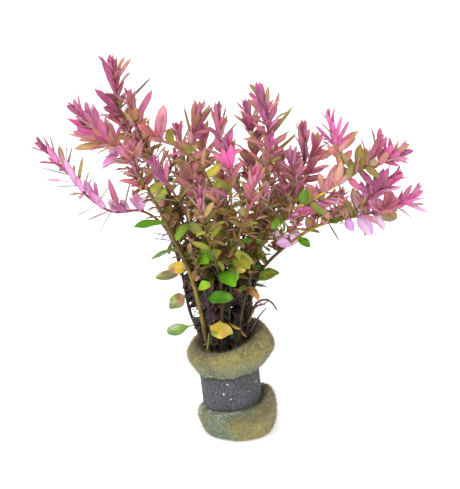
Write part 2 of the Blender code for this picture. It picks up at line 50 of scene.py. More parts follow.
# colours as red, green and blue out of 255, as a screen shows them
palette = {
    "plum": (146, 62, 122),
    "magenta": (196, 76, 144),
    "hotPink": (242, 92, 174),
    "orchid": (220, 124, 188),
    "mauve": (186, 100, 148),
    "rose": (194, 98, 128),
    "dustyPink": (214, 148, 162),
    "lavender": (230, 172, 222),
    "paleLilac": (236, 202, 236),
    "violet": (206, 160, 236),
    "salmon": (204, 130, 116),
    "peach": (222, 174, 142),
    "dustyBrown": (178, 132, 96),
    "oliveTan": (170, 148, 84),
    "bronze": (166, 106, 66),
    "redBrown": (148, 78, 70),
    "umber": (104, 74, 46),
    "oliveBrown": (146, 120, 62),
    "olive": (134, 126, 42),
    "darkOlive": (86, 86, 38),
    "oliveGreen": (106, 130, 34),
    "green": (76, 142, 18),
    "leafGreen": (112, 168, 34),
    "palerGreen": (112, 156, 84),
    "brightGreen": (122, 196, 26),
    "yellowGreen": (172, 184, 44),
    "yellow": (224, 194, 58),
    "tan": (208, 164, 96),
    "orange": (204, 140, 58),
    "redOlive": (132, 96, 58),
    "darkBark": (112, 90, 44),
    "youngBark": (204, 180, 40),
    "greyLilac": (168, 150, 182),
    "greyGreen": (132, 128, 108),
    "darkGreen": (24, 60, 44),
    "mudAndShade": (50, 36, 42),
    "purpleBrown": (92, 62, 70),
    "paleRoot": (196, 184, 204),
}


def linear(rgb):
    out = []
    for value in rgb:
        value = value / 255
        out.append(value / 12.92 if value < 0.04045 else ((value + 0.055) / 1.055) ** 2.4)
    return Vector(out)


paint = {name: linear(rgb) for name, rgb in palette.items()}


def addNode(tree, kind, **settings):
    node = tree.nodes.new(kind)
    for key, value in settings.items():
        setattr(node, key, value)
    return node


def objectPlace(tree):
    return addNode(tree, "ShaderNodeTexCoord").outputs["Object"]


def readAttribute(tree, name, output="Fac"):
    return addNode(tree, "ShaderNodeAttribute", attribute_name=name).outputs[output]


def mathNode(tree, operation, first, second, clamp=False):
    node = addNode(tree, "ShaderNodeMath", operation=operation, use_clamp=clamp)
    for socket, value in zip(node.inputs, (first, second)):
        if isinstance(value, (int, float)):
            socket.default_value = value
        else:
            tree.links.new(value, socket)
    return node.outputs[0]


def times(tree, first, second, clamp=False):
    return mathNode(tree, "MULTIPLY", first, second, clamp)


def plus(tree, first, second):
    return mathNode(tree, "ADD", first, second)


def without(tree, value):
    return mathNode(tree, "SUBTRACT", 1.0, value)


def ramp(tree, value, low, high):
    # 0 at low, 1 at high
    node = addNode(tree, "ShaderNodeMapRange", interpolation_type="SMOOTHSTEP")
    node.inputs["From Min"].default_value = low
    node.inputs["From Max"].default_value = high
    tree.links.new(value, node.inputs["Value"])
    return node.outputs[0]


def mixColour(tree, factor, first, second):
    node = addNode(tree, "ShaderNodeMix", data_type="RGBA")
    for index, value in ((0, factor), (6, first), (7, second)):  # its colour sockets are 6 and 7
        if isinstance(value, bpy.types.NodeSocket):
            tree.links.new(value, node.inputs[index])
        else:
            node.inputs[index].default_value = (*value, 1)
    return node.outputs[2]


def mixPair(tree, factor, pair):
    return mixColour(tree, factor, linear(pair[0]), linear(pair[1]))


def coverWith(tree, body, layers, tones):
    # layers that lie over the body, the last on top: the mask, how much it covers, the colour's name
    for mask, share, name in layers:
        body = mixColour(tree, times(tree, mask, share), body, linear(tones[name]))
    return body


def brighten(tree, colour, factor):
    node = addNode(tree, "ShaderNodeVectorMath", operation="SCALE")
    tree.links.new(colour, node.inputs[0])
    tree.links.new(factor, node.inputs["Scale"])
    return node.outputs[0]


def startGroup(name, inputs, outputs):
    group = bpy.data.node_groups.new(name, "ShaderNodeTree")
    for label, kind, value in inputs:
        socket = group.interface.new_socket(label, in_out="INPUT", socket_type=kind)
        if value is not None:
            socket.default_value = value
    for label, kind in outputs:
        group.interface.new_socket(label, in_out="OUTPUT", socket_type=kind)
    return group, addNode(group, "NodeGroupInput"), addNode(group, "NodeGroupOutput")


def buildMottle():
    # soft patches of light and dark with a finer grain in them
    group, given, out = startGroup(
        "mottle",
        [("Vector", "NodeSocketVector", None), ("Patches", "NodeSocketFloat", 300.0),
         ("Grain", "NodeSocketFloat", 2000.0)],
        [("Patch", "NodeSocketFloat"), ("Fine", "NodeSocketFloat")])
    shifted = addNode(group, "ShaderNodeVectorMath", operation="ADD")
    group.links.new(given.outputs["Vector"], shifted.inputs[0])
    shifted.inputs[1].default_value = (0.137, 0.211, 0.173)  # every octave has a lattice plane at 0
    for scale, end, detail in (("Patches", "Patch", 3.0), ("Grain", "Fine", 4.0)):
        cloud = addNode(group, "ShaderNodeTexNoise")
        cloud.inputs["Detail"].default_value = detail
        group.links.new(shifted.outputs[0], cloud.inputs["Vector"])
        group.links.new(given.outputs[scale], cloud.inputs["Scale"])
        group.links.new(cloud.outputs["Fac"], out.inputs[end])
    return group


def buildSpecks():
    # pale grains that are scattered thinly over a rough surface
    group, given, out = startGroup(
        "specks",
        [("Vector", "NodeSocketVector", None), ("Scale", "NodeSocketFloat", 900.0),
         ("Share", "NodeSocketFloat", 0.1)],
        [("Mask", "NodeSocketFloat")])
    cells = addNode(group, "ShaderNodeTexVoronoi", feature="F1")
    group.links.new(given.outputs["Vector"], cells.inputs["Vector"])
    group.links.new(given.outputs["Scale"], cells.inputs["Scale"])
    lucky = addNode(group, "ShaderNodeSeparateColor")
    group.links.new(cells.outputs["Color"], lucky.inputs[0])
    chosen = mathNode(group, "LESS_THAN", lucky.outputs[0], given.outputs["Share"])
    size = times(group, lucky.outputs[1], 0.34)  # the largest grain, as a share of its cell
    near = mathNode(group, "LESS_THAN", cells.outputs["Distance"], size)
    group.links.new(times(group, chosen, near), out.inputs["Mask"])
    return group


mottle = buildMottle()
specks = buildSpecks()


def startMaterial(name):
    material = bpy.data.materials.new(name)
    material.use_nodes = True
    tree = material.node_tree
    return material, tree, tree.nodes["Principled BSDF"]


def placeGroup(tree, group, vector, **values):
    node = addNode(tree, "ShaderNodeGroup", node_tree=group)
    tree.links.new(vector, node.inputs["Vector"])
    for key, value in values.items():
        node.inputs[key].default_value = value
    return node


def addBump(tree, shader, height, strength, distance):
    bump = addNode(tree, "ShaderNodeBump")
    bump.inputs["Strength"].default_value = strength
    bump.inputs["Distance"].default_value = distance
    tree.links.new(height, bump.inputs["Height"])
    tree.links.new(bump.outputs[0], shader.inputs["Normal"])


leafLook = {
    "roughness": 0.42,
    "roughSpread": 0.3,  # how much the roughness varies with the grain
    "specular": 0.3,
    "glow": 0.35,  # share of the light that passes under the skin
    "glowDepth": 0.7 * mm,
    "glowReach": (1.0, 0.6, 0.5),  # red light goes the farthest
    "ribWidth": (0.02, 0.09),  # from the middle, as a share of the blade's width
    "ribLift": 0.22,  # how much paler the middle rib is
    "veins": 60.0,  # how close the side veins stand
    "veinSlant": -46.0,
    "veinLift": 0.07,
    "patches": 360.0,
    "patchDepth": 0.5,
    "grain": 2600.0,
    "relief": 0.12 * mm,
}


def leafMaterial(name, spots=0.0, wash=0.35, stain="umber"):
    # tissue of the leaves: colour from the piece's own tint, ribs from its UV map. The wash is how
    # far patches turn to the brown of old tissue, and the spots take the stain's colour
    material, tree, shader = startMaterial(name)
    across = addNode(tree, "ShaderNodeSeparateXYZ")
    tree.links.new(addNode(tree, "ShaderNodeUVMap", uv_map="blade").outputs[0], across.inputs[0])
    off = mathNode(tree, "ABSOLUTE", mathNode(tree, "SUBTRACT", across.outputs[0], 0.5), 0)
    rib = without(tree, ramp(tree, off, *leafLook["ribWidth"]))
    slant = plus(tree, times(tree, across.outputs[1], leafLook["veins"]),
                 times(tree, off, leafLook["veinSlant"]))
    sideVeins = ramp(tree, mathNode(tree, "SINE", slant, 0), 0.55, 1.0)
    cloud = placeGroup(tree, mottle, objectPlace(tree),
                       Patches=leafLook["patches"], Grain=leafLook["grain"])
    patch, fine = cloud.outputs["Patch"], cloud.outputs["Fine"]
    shade = plus(tree, times(tree, rib, leafLook["ribLift"]), times(tree, sideVeins, leafLook["veinLift"]))
    unevenness = mathNode(tree, "SUBTRACT", patch, 0.5)
    shade = plus(tree, shade, times(tree, unevenness, leafLook["patchDepth"]))
    colour = brighten(tree, readAttribute(tree, "tint", "Color"), plus(tree, shade, 1.0))
    old = ramp(tree, patch, 0.5, 0.72)
    colour = mixColour(tree, times(tree, old, wash), colour, paint["dustyBrown"])
    if spots:
        spot = ramp(tree, fine, 0.58, 0.66)
        colour = mixColour(tree, times(tree, spot, spots), colour, paint[stain])
    tree.links.new(colour, shader.inputs["Base Color"])
    rough = plus(tree, times(tree, fine, leafLook["roughSpread"]),
                 leafLook["roughness"] - leafLook["roughSpread"] / 2)
    tree.links.new(rough, shader.inputs["Roughness"])
    shader.inputs["Specular IOR Level"].default_value = leafLook["specular"]
    shader.inputs["Subsurface Weight"].default_value = leafLook["glow"]
    shader.inputs["Subsurface Scale"].default_value = leafLook["glowDepth"]
    shader.inputs["Subsurface Radius"].default_value = leafLook["glowReach"]
    height = plus(tree, times(tree, rib, -0.7), times(tree, fine, 0.5))  # the ribs are sunk
    height = plus(tree, height, times(tree, sideVeins, -0.3))
    addBump(tree, shader, height, 0.5, leafLook["relief"])
    return material


leafMaterials = {
    "pink": leafMaterial("pinkLeafTissue"),
    "bronze": leafMaterial("bronzeLeafTissue", spots=0.3),
    "olive": leafMaterial("oliveLeafTissue", spots=0.35),
    "green": leafMaterial("greenLeafTissue", spots=0.12, wash=0.06),
    "yellow": leafMaterial("yellowLeafTissue", spots=0.7, wash=0.3, stain="orange"),
    "tan": leafMaterial("tanLeafTissue", spots=0.6),
}


stemLook = {
    "streaks": 700.0,
    "grain": 4500.0,
    "stretch": 0.25,  # the streaks are four times as long as wide
    "shades": (0.55, 0.9),  # the darkest streak's brightness, and what the palest adds
    "roughness": 0.5,
    "specular": 0.25,
    "glow": 0.12,
    "glowDepth": 0.8 * mm,
    "relief": 0.1 * mm,
}


def stemMaterial():
    # skin of the stems: fine lengthwise streaks over the stem's own tint
    material, tree, shader = startMaterial("stemSkin")
    squeeze = addNode(tree, "ShaderNodeMapping", vector_type="POINT")
    squeeze.inputs["Scale"].default_value = (1, 1, stemLook["stretch"])
    tree.links.new(objectPlace(tree), squeeze.inputs[0])
    cloud = placeGroup(tree, mottle, squeeze.outputs[0],
                       Patches=stemLook["streaks"], Grain=stemLook["grain"])
    darkest, added = stemLook["shades"]
    brightness = plus(tree, times(tree, cloud.outputs["Patch"], added), darkest)
    skin = brighten(tree, readAttribute(tree, "tint", "Color"), brightness)
    tree.links.new(skin, shader.inputs["Base Color"])
    shader.inputs["Roughness"].default_value = stemLook["roughness"]
    shader.inputs["Specular IOR Level"].default_value = stemLook["specular"]
    shader.inputs["Subsurface Weight"].default_value = stemLook["glow"]
    shader.inputs["Subsurface Scale"].default_value = stemLook["glowDepth"]
    addBump(tree, shader, cloud.outputs["Fine"], 0.4, stemLook["relief"])
    return material


stemSkin = stemMaterial()
print("plant materials ready")


# the holder is a ceramic ring, and the foam plug that it squeezes
holder = {
    "ringMiddle": Vector((-3.4, 0, 23.2)) * mm,
    "lean": math.radians(7),
}
holderFrame = Matrix.Translation(holder["ringMiddle"]) @ Matrix.Rotation(-holder["lean"], 4, "Y")
holderBack = holderFrame.inverted()
holderAxis = (holderFrame.to_3x3() @ up).normalized()


def clamped(value):
    return min(1, max(0, value))


def scatter(dice, spread):
    return Vector([dice.gauss(0, spread) for _ in range(3)])


def newMesh(name, bm, materials, smooth=True):
    mesh = bpy.data.meshes.new(name)
    bm.to_mesh(mesh)
    bm.free()
    for material in materials:
        mesh.materials.append(material)
    if smooth:
        mesh.shade_smooth()
    made = bpy.data.objects.new(name, mesh)
    bpy.context.scene.collection.objects.link(made)
    return made


def standFor(piece, slot, *nodes):
    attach(piece, "root")
    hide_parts(*nodes)
    return piece


def smoothLine(points, steps):
    # points on a smooth line through the given ones
    ends = [2 * points[0] - points[1], *points, 2 * points[-1] - points[-2]]
    line = []
    for before, start, end, after in zip(ends, ends[1:], ends[2:], ends[3:]):
        for step in range(steps):
            t = step / steps
            line.append(0.5 * (2 * start + (end - before) * t
                               + (2 * before - 5 * start + 4 * end - after) * t * t
                               + (3 * start - before - 3 * end + after) * t ** 3))
    return line + [points[-1].copy()]


def spinProfile(bm, profile, steps, closed):
    verts = [bm.verts.new(point) for point in profile]
    edges = [bm.edges.new((verts[i - 1], verts[i])) for i in range(0 if closed else 1, len(verts))]
    bmesh.ops.spin(bm, geom=verts + edges, cent=(0, 0, 0), axis=(0, 0, 1),
                   angle=math.tau, steps=steps, use_merge=True)
    bmesh.ops.remove_doubles(bm, verts=bm.verts, dist=1e-6)
    bmesh.ops.recalc_face_normals(bm, faces=bm.faces)


ring = {
    "height": 17 * mm,
    "outer": 14.8 * mm,
    "inner": 11.7 * mm,
    "edge": 1.3 * mm,
    "steps": 160,
    "rows": 24,
    "wobble": 0.12 * mm,
    "grit": 0.14 * mm,
    "clay": ((71, 71, 72), (90, 90, 95)),
    "starShare": 0.1,  # share of the cells with a white grain that stands out
    "tones": {
        "blotches": (64, 63, 66),
        "pits": (46, 45, 50),
        "grain": (140, 141, 148),
        "sand": (150, 151, 158),
        "stars": (222, 220, 224),
    },
}


def ceramicMaterial():
    # fired clay with sand in it: a dark grey body, fine grit and a few white grains
    material, tree, shader = startMaterial("grittyCeramic")
    place = objectPlace(tree)
    cloud = placeGroup(tree, mottle, place, Patches=190.0, Grain=2300.0)
    medium = placeGroup(tree, mottle, place, Patches=900.0, Grain=5200.0)
    grit = placeGroup(tree, specks, place, Scale=1500.0, Share=0.42).outputs[0]
    stars = placeGroup(tree, specks, place, Scale=560.0, Share=ring["starShare"]).outputs[0]
    fine = cloud.outputs["Fine"]
    body = mixPair(tree, ramp(tree, cloud.outputs["Patch"], 0.36, 0.64), ring["clay"])
    body = coverWith(tree, body, [
        (ramp(tree, medium.outputs["Patch"], 0.42, 0.6), 1, "blotches"),
        (ramp(tree, fine, 0.52, 0.66), 1, "pits"),
        (without(tree, ramp(tree, fine, 0.34, 0.46)), 0.5, "grain"),
        (grit, 0.4, "sand"),
        (stars, 0.62, "stars"),
    ], ring["tones"])
    tree.links.new(body, shader.inputs["Base Color"])
    shader.inputs["Roughness"].default_value = 0.85
    addBump(tree, shader, plus(tree, fine, times(tree, grit, 0.4)), 1.0, 0.35 * mm)
    return material


def makeRing():
    half, outer, inner, edge = ring["height"] / 2, ring["outer"], ring["inner"], ring["edge"]
    bm = bmesh.new()
    corners = [Vector((inner, 0, -half)), Vector((outer, 0, -half)),
               Vector((outer, 0, half)), Vector((inner, 0, half))]
    spinProfile(bm, corners, ring["steps"], closed=True)
    rims = [e for e in bm.edges if e.is_manifold and e.calc_face_angle() > 1
            and Vector((e.verts[0].co.x, e.verts[0].co.y)).length > (outer + inner) / 2]
    bmesh.ops.bevel(bm, geom=rims, offset=edge, affect="EDGES", segments=5, profile=0.5, material=-1)
    tall = [e for e in bm.edges if abs(e.verts[0].co.z - e.verts[1].co.z) > 6 * mm]
    bmesh.ops.subdivide_edges(bm, edges=tall, cuts=ring["rows"], use_grid_fill=True)
    for vert in bm.verts:
        reach = Vector((vert.co.x, vert.co.y, 0))
        if reach.length > inner + 0.5 * mm:  # the bore stays round
            swell = ring["wobble"] * noise.noise(vert.co * 120) + ring["grit"] * noise.noise(vert.co * 900)
            vert.co += reach.normalized() * swell
    bm.transform(holderFrame)
    made = newMesh("speckled_ring", bm, [ceramicMaterial()])
    return standFor(made, "ceramic", "ceramic_ring")


foam = {
    # radius, height over the ring's middle, shift to the right, in mm
    "profile": [
        (0.0, -27.0, 0.0), (8.0, -27.0, 1.0), (14.0, -27.0, 1.5), (17.8, -21.0, 1.9), (19.6, -16.0, 1.9),
        (19.6, -12.5, 1.8), (17.6, -9.8, 1.0), (15.4, -9.2, 0.0), (13.5, -8.9, 0.0), (11.3, -8.9, 0.0),
        (11.3, 0.0, 0.0), (11.3, 8.9, 0.0), (14.2, 8.9, 0.0), (17.2, 12.5, 1.0), (20.4, 18.0, 2.0),
        (21.6, 23.0, 2.2), (19.8, 27.0, 2.0), (16.4, 28.4, 1.2), (13.4, 25.0, 0.6), (10.0, 16.0, 0.3),
        (8.2, 9.0, 0.0), (8.2, -10.0, 0.0), (8.0, -23.0, 0.0), (0.0, -23.0, 0.0)],
    "waist": 8.9 * mm,  # half the height of the squeezed part
    "hollow": 8.6 * mm,  # radius of the stems' hollow
    "steps": 110,
    "lump": 0.035,
    "mouthHeight": 0.88,  # the upper lobe stands unevenly: lower in front and on the left
    "mouthToRight": 0.12,
    "mouthToBack": 0.14,
    "sideBulge": 5 * mm,  # the lower lobe swells up past the ring's edge on the right
    "poreSize": 1.15 * mm,
    "poreDepth": 0.95 * mm,
    "fuzz": 0.6 * mm,
    "fibres": 19000,
    "fibreLength": 1.6 * mm,
    "fibreWidth": 0.1 * mm,
    "fibreLean": 0.45,
    "longOnes": 0.42,  # share of the fibres that are twice as long and thinner
    "batch": 500,  # fibres grown at a time, which is faster than all at once
    "crust": 1100,  # pale grains of lime next to the ring's edges
    "crustSize": (0.1, 0.34),
    "lime": ((140, 152, 142), (206, 212, 208)),
    "sponge": ((122, 106, 50), (176, 165, 88)),
    "algae": ((92, 122, 102), (154, 174, 158)),
    "tones": {
        "grain": (202, 197, 144),
        "edge": (138, 154, 116),
        "stain": (138, 112, 66),
        "rime": (218, 228, 230),
        # painted shade: the upper lobe's inner rim, the stems' hollow and the pores are darkened where the
        # foam is sunk
        "mouthShade": (92, 68, 30),
        "hollow": (50, 38, 30),
        "poreShade": (96, 84, 44),
        "flecks": (112, 100, 56),
        # painted glow: the fibres' tips are paler, for the light at the soft fringe
        "tip": (224, 216, 170),
        "sand": (232, 228, 204),
    },
}


def foamMaterial():
    material, tree, shader = startMaterial("spongeFoam")
    place = objectPlace(tree)
    cloud = placeGroup(tree, mottle, place, Patches=70.0, Grain=1700.0)
    grain = placeGroup(tree, mottle, place, Patches=700.0, Grain=4200.0)
    sand = placeGroup(tree, specks, place, Scale=640.0, Share=0.13).outputs[0]
    frost = placeGroup(tree, specks, place, Scale=900.0, Share=0.6).outputs[0]
    patch, coarse = cloud.outputs["Patch"], grain.outputs["Patch"]
    at = addNode(tree, "ShaderNodeSeparateXYZ")
    tree.links.new(place, at.inputs[0])
    body = mixPair(tree, ramp(tree, patch, 0.32, 0.68), foam["sponge"])
    body = coverWith(tree, body, [(ramp(tree, coarse, 0.46, 0.62), 0.55, "grain")], foam["tones"])
    # algae: grey-green next to the ring and on the lower lobe's left, a tan stain on its right
    patchy = mathNode(tree, "SUBTRACT", patch, 0.5)
    low = ramp(tree, plus(tree, at.outputs[2], times(tree, patchy, 8 * mm)), 24 * mm, 12 * mm)
    sideways = plus(tree, at.outputs[0], times(tree, patchy, 60 * mm))
    left = times(tree, ramp(tree, sideways, 14 * mm, -10 * mm),
                 ramp(tree, at.outputs[0], -20 * mm, -13 * mm))
    algae = mixPair(tree, ramp(tree, coarse, 0.4, 0.65), foam["algae"])
    body = mixColour(tree, times(tree, times(tree, low, left), 0.9), body, algae)
    wide = times(tree, readAttribute(tree, "belt"), 1.7)
    body = coverWith(tree, body, [
        (times(tree, wide, plus(tree, coarse, 0.2), clamp=True), 1, "edge"),
        (times(tree, times(tree, wide, low, clamp=True), without(tree, left)), 0.75, "stain"),
        (times(tree, frost, wide, clamp=True), 0.9, "rime"),
        # painted shade in the sunk places: the inner rim of the upper lobe, the stems' hollow and the pits
        (readAttribute(tree, "mouthShade"), 0.75, "mouthShade"),
        (readAttribute(tree, "hollow"), 1, "hollow"),
        (readAttribute(tree, "poreShade"), 0.8, "poreShade"),
        (ramp(tree, grain.outputs["Fine"], 0.5, 0.62), 0.5, "flecks"),
        # painted glow on the fibres' tips at the soft fringe
        (readAttribute(tree, "tip"), 0.3, "tip"),
        (sand, 0.7, "sand"),
    ], foam["tones"])
    tree.links.new(body, shader.inputs["Base Color"])
    shader.inputs["Roughness"].default_value = 0.95
    shader.inputs["Subsurface Weight"].default_value = 0.2
    shader.inputs["Subsurface Scale"].default_value = 1.5 * mm
    shader.inputs["Sheen Weight"].default_value = 0.3
    shader.inputs["Sheen Roughness"].default_value = 0.5
    addBump(tree, shader, plus(tree, cloud.outputs["Fine"], grain.outputs["Fine"]), 1.0, 0.4 * mm)
    return material


def foamHeight(radius, angle, height):
    # where a place in the profile stands, once the lobes are uneven
    waist = foam["waist"]
    if height > waist:
        share = (foam["mouthHeight"] + foam["mouthToRight"] * math.cos(angle)
                 + foam["mouthToBack"] * math.sin(angle))
        return waist + (height - waist) * share
    outer = clamped((radius - 15.4 * mm) / (2 * mm))
    upper = clamped((height + 21 * mm) / (8 * mm))  # the foot stays flat
    side = max(0, math.cos(angle - math.radians(25)))
    return height + foam["sideBulge"] * outer * upper * side


def shapeFoam(bm, line):
    # swells, tilts and shifts the lobes of the plug that the profile was turned into
    for vert in bm.verts:
        radius, height = math.hypot(vert.co.x, vert.co.y), vert.co.z
        shift = min(line, key=lambda p: (p.x - radius) ** 2 + (p.y - height) ** 2).z
        angle = math.atan2(vert.co.y, vert.co.x)
        lobe = clamped((radius - 14 * mm) / (5 * mm))  # 0 at the waist, 1 on the lobes
        wave = math.sin(2 * angle + 0.8 + height / (9 * mm)) + 0.6 * math.sin(5 * angle + height / (6 * mm))
        swell = 1 + foam["lump"] * lobe * wave
        vert.co.x = vert.co.x * swell + shift
        vert.co.y *= swell
        vert.co.z = foamHeight(radius, angle, height)


def roughenFoam(bm):
    # opens the pores, frays the skin and keeps where each is for the material: the pits, the upper lobe's
    # inner rim and the stems' hollow take painted shade
    bm.normal_update()
    poreShade = bm.verts.layers.float.new("poreShade")
    belt = bm.verts.layers.float.new("belt")
    hollow = bm.verts.layers.float.new("hollow")
    mouthShade = bm.verts.layers.float.new("mouthShade")
    for vert in bm.verts:
        radius, height = math.hypot(vert.co.x, vert.co.y), vert.co.z
        gap = abs(height) - ring["height"] / 2
        free = 0 if gap < 0.3 * mm and 10 * mm < radius < 15.6 * mm else 1  # smooth under the ring
        depth = noise.voronoi(vert.co / foam["poreSize"])[0][0]
        pit = max(0, 1 - depth / 0.45) * free
        beltWidth = (12 if height > 0 else 7) * mm
        # how much painted shade the pits, the upper lobe's inner rim and the stems' hollow take
        vert[poreShade] = pit
        vert[belt] = max(0, 1 - gap / beltWidth) if radius > 11 * mm else 0
        vert[mouthShade] = clamped((20.5 * mm - radius) / (6 * mm)) if height > 16 * mm else 0
        vert[hollow] = clamped(1.3 - (radius - 8 * mm) / (5 * mm)) if height > 0 else 0
        lumps = 0.55 * mm * noise.noise(vert.co * 130)
        fray = foam["fuzz"] * (noise.noise(vert.co * 1400) + 0.6 * noise.noise(vert.co * 3100))
        vert.co += vert.normal * (free * (lumps + fray) - foam["poreDepth"] * pit)


def settleFoam(bm):
    # leans the plug, and presses its foot flat on the ground and its hollow flat a little over it
    for vert in bm.verts:
        inHollow = math.hypot(*vert.co.xy) < foam["hollow"]
        vert.co = holderFrame @ vert.co
        floor = 2 * mm if inHollow and vert.co.z > 0.8 * mm else 0
        if vert.co.z < floor:
            vert.co += holderAxis * ((floor - vert.co.z) / holderAxis.z)
            vert.co.z = floor


def makeFoam():
    knots = [Vector((radius, height, shift)) * mm for radius, height, shift in foam["profile"]]
    line = smoothLine(knots, 2)
    for point in line:
        point.x = max(point.x, 0)
    bm = bmesh.new()
    spinProfile(bm, [Vector((p.x, 0, p.y)) for p in line], foam["steps"], closed=False)
    shapeFoam(bm, line)
    made = newMesh("sponge_plug", bm, [foamMaterial()])
    finer = made.modifiers.new("finer", "SUBSURF")
    finer.levels = finer.render_levels = 2
    dense = bpy.data.meshes.new_from_object(made.evaluated_get(bpy.context.evaluated_depsgraph_get()))
    made.modifiers.clear()
    made.data = dense
    bm = bmesh.new()
    bm.from_mesh(dense)
    roughenFoam(bm)
    settleFoam(bm)
    bm.to_mesh(dense)
    bm.free()
    dense.shade_smooth()
    return standFor(made, "foam", "foam_plug")


def inOrder(mesh):
    # a mesh's points by their place, because their numbers aren't the same in each run
    return sorted(mesh.vertices, key=lambda vert: tuple(vert.co))


def growFibre(bm, point, way, length, width, values):
    # one broken cell wall: a thin three-sided cone
    cone = bmesh.ops.create_cone(bm, cap_ends=True, segments=3, radius1=width, radius2=0.0, depth=length)
    turn = way.to_track_quat("Z", "Y").to_matrix()
    for vert in cone["verts"]:
        # the tip is marked for the painted glow of the fringe
        values["tip"] = 1.0 if vert.co.z > 0 else 0.0
        vert.co = point + turn @ vert.co + way * (0.4 * length)
        for name, value in values.items():
            vert[bm.verts.layers.float[name]] = value


def makeFibres(plug):
    # the broken cell walls that stand out all over the sponge and make its edge look soft
    dice = random.Random(7)
    kept = {name: plug.data.attributes[name].data for name in ("poreShade", "belt", "mouthShade", "hollow")}
    roots = []
    for vert in inOrder(plug.data):
        local = holderBack @ vert.co
        covered = abs(local.z) < ring["height"] / 2 + 0.4 * mm and math.hypot(*local.xy) < 15.8 * mm
        if vert.co.z > 0.6 * mm and not covered and kept["hollow"][vert.index].value < 0.6:
            roots.append(vert.index)
    roots = dice.sample(roots, foam["fibres"])
    whole = bmesh.new()
    for start in range(0, len(roots), foam["batch"]):
        bm = bmesh.new()
        for name in (*kept, "tip"):
            bm.verts.layers.float.new(name)
        for index in roots[start:start + foam["batch"]]:
            root = plug.data.vertices[index]
            way = (root.normal + scatter(dice, foam["fibreLean"])).normalized()
            length = foam["fibreLength"] * dice.uniform(0.3, 1.25)
            width = foam["fibreWidth"] * dice.uniform(0.6, 1.2)
            if dice.random() < foam["longOnes"]:
                length, width = 1.5 * mm + length, 0.6 * width
            if root.co.z + way.z * length > 0.1 * mm:
                values = {name: data[index].value for name, data in kept.items()}
                values["poreShade"] *= 0.3
                growFibre(bm, root.co, way, length, width, values)
        bmesh.ops.remove_doubles(bm, verts=bm.verts, dist=1e-7)
        batch = bpy.data.meshes.new("batch")
        bm.to_mesh(batch)
        bm.free()
        whole.from_mesh(batch)
        bpy.data.meshes.remove(batch)
    made = newMesh("sponge_fibres", whole, [plug.data.materials[0]])
    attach(made, "root")


def makeCrust(plug):
    # grains of lime that the water left where the sponge meets the ring
    dice = random.Random(21)
    material, tree, shader = startMaterial("limeCrust")
    cloud = placeGroup(tree, mottle, objectPlace(tree), Patches=400.0, Grain=5000.0)
    body = mixPair(tree, ramp(tree, cloud.outputs["Patch"], 0.4, 0.6), foam["lime"])
    tree.links.new(body, shader.inputs["Base Color"])
    shader.inputs["Roughness"].default_value = 0.9
    addBump(tree, shader, cloud.outputs["Fine"], 0.8, 0.2 * mm)
    bm = bmesh.new()
    places = []
    for vert in inOrder(plug.data):
        local = holderBack @ vert.co
        gap = abs(local.z) - ring["height"] / 2
        onLeft = local.x < 4 * mm or local.z > 0
        if -0.2 * mm < gap < 6 * mm and math.hypot(*local.xy) > 14 * mm and onLeft:
            clump = noise.noise(local * 210) - 0.1 * gap / mm
            if clump > (-0.08 if local.z > 0 else 0.02):
                places.append((vert.co, vert.normal))
    for place, normal in dice.sample(places, min(foam["crust"], len(places))):
        radius = dice.uniform(*foam["crustSize"]) * mm
        grain = bmesh.ops.create_icosphere(bm, subdivisions=1, radius=radius)
        middle = place + normal * (dice.uniform(0.1, 0.5) * mm)
        for vert in grain["verts"]:
            vert.co = middle + vert.co * (1 + 0.35 * noise.noise(vert.co * 3000 + middle * 900))
    made = newMesh("lime_crust", bm, [material])
    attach(made, "root")


makeRing()
plug = makeFoam()
makeFibres(plug)
makeCrust(plug)
print("holder made")


# the photograph's view, from which single leaves are placed and which the camera takes
photoView = {
    "aim": Vector((-4, 0, 96)) * mm,
    "distance": 0.709,
    "elevation": math.radians(15.5),
    "lens": 107.3,
    "sensor": 36,
    "width": 460,
    "height": 489,
}
pixelsAcross = photoView["lens"] / photoView["sensor"] * photoView["height"]
tiltSine, tiltCosine = math.sin(photoView["elevation"]), math.cos(photoView["elevation"])


def seen(point):
    # the pixel of the photograph that shows a point
    x, y, z = point - photoView["aim"]
    depth = photoView["distance"] + y * tiltCosine - z * tiltSine
    return (photoView["width"] / 2 + pixelsAcross * x / depth,
            photoView["height"] / 2 - pixelsAcross * (y * tiltSine + z * tiltCosine) / depth)


def pointAt(pixel, y):
    # the point at depth y that the photograph shows at a pixel
    rise = (photoView["height"] / 2 - pixel[1]) / pixelsAcross
    far = photoView["distance"] + y * tiltCosine
    z = (rise * far - y * tiltSine) / (tiltCosine + rise * tiltSine)
    x = (pixel[0] - photoView["width"] / 2) / pixelsAcross * (far - z * tiltSine)
    return photoView["aim"] + Vector((x, y, z))


def slotPoint(ringRadius, direction, height):
    turn = math.radians(direction)
    return holderFrame @ Vector((ringRadius * math.cos(turn), ringRadius * math.sin(turn), height))


class Route:
    # a smooth line that is read by the distance along it
    def __init__(self, points, trim=0.0):
        self.points = smoothLine(points, 12)
        self.along = [0.0]
        for a, b in zip(self.points, self.points[1:]):
            self.along.append(self.along[-1] + (b - a).length)
        self.length = self.along[-1] - trim

    def at(self, distance):
        distance = min(max(distance, 0), self.length)
        i = 0
        while i < len(self.along) - 2 and self.along[i + 1] < distance:
            i += 1
        a, b = self.points[i], self.points[i + 1]
        share = (distance - self.along[i]) / max(1e-9, self.along[i + 1] - self.along[i])
        return a.lerp(b, share), (b - a).normalized()

    def nearest(self, target):
        i = min(range(len(self.points)), key=lambda n: (self.points[n] - target).length)
        return self.along[i]

    def atHeight(self, height):
        i = next(n for n, point in enumerate(self.points) if point.z >= height)
        return self.along[i]


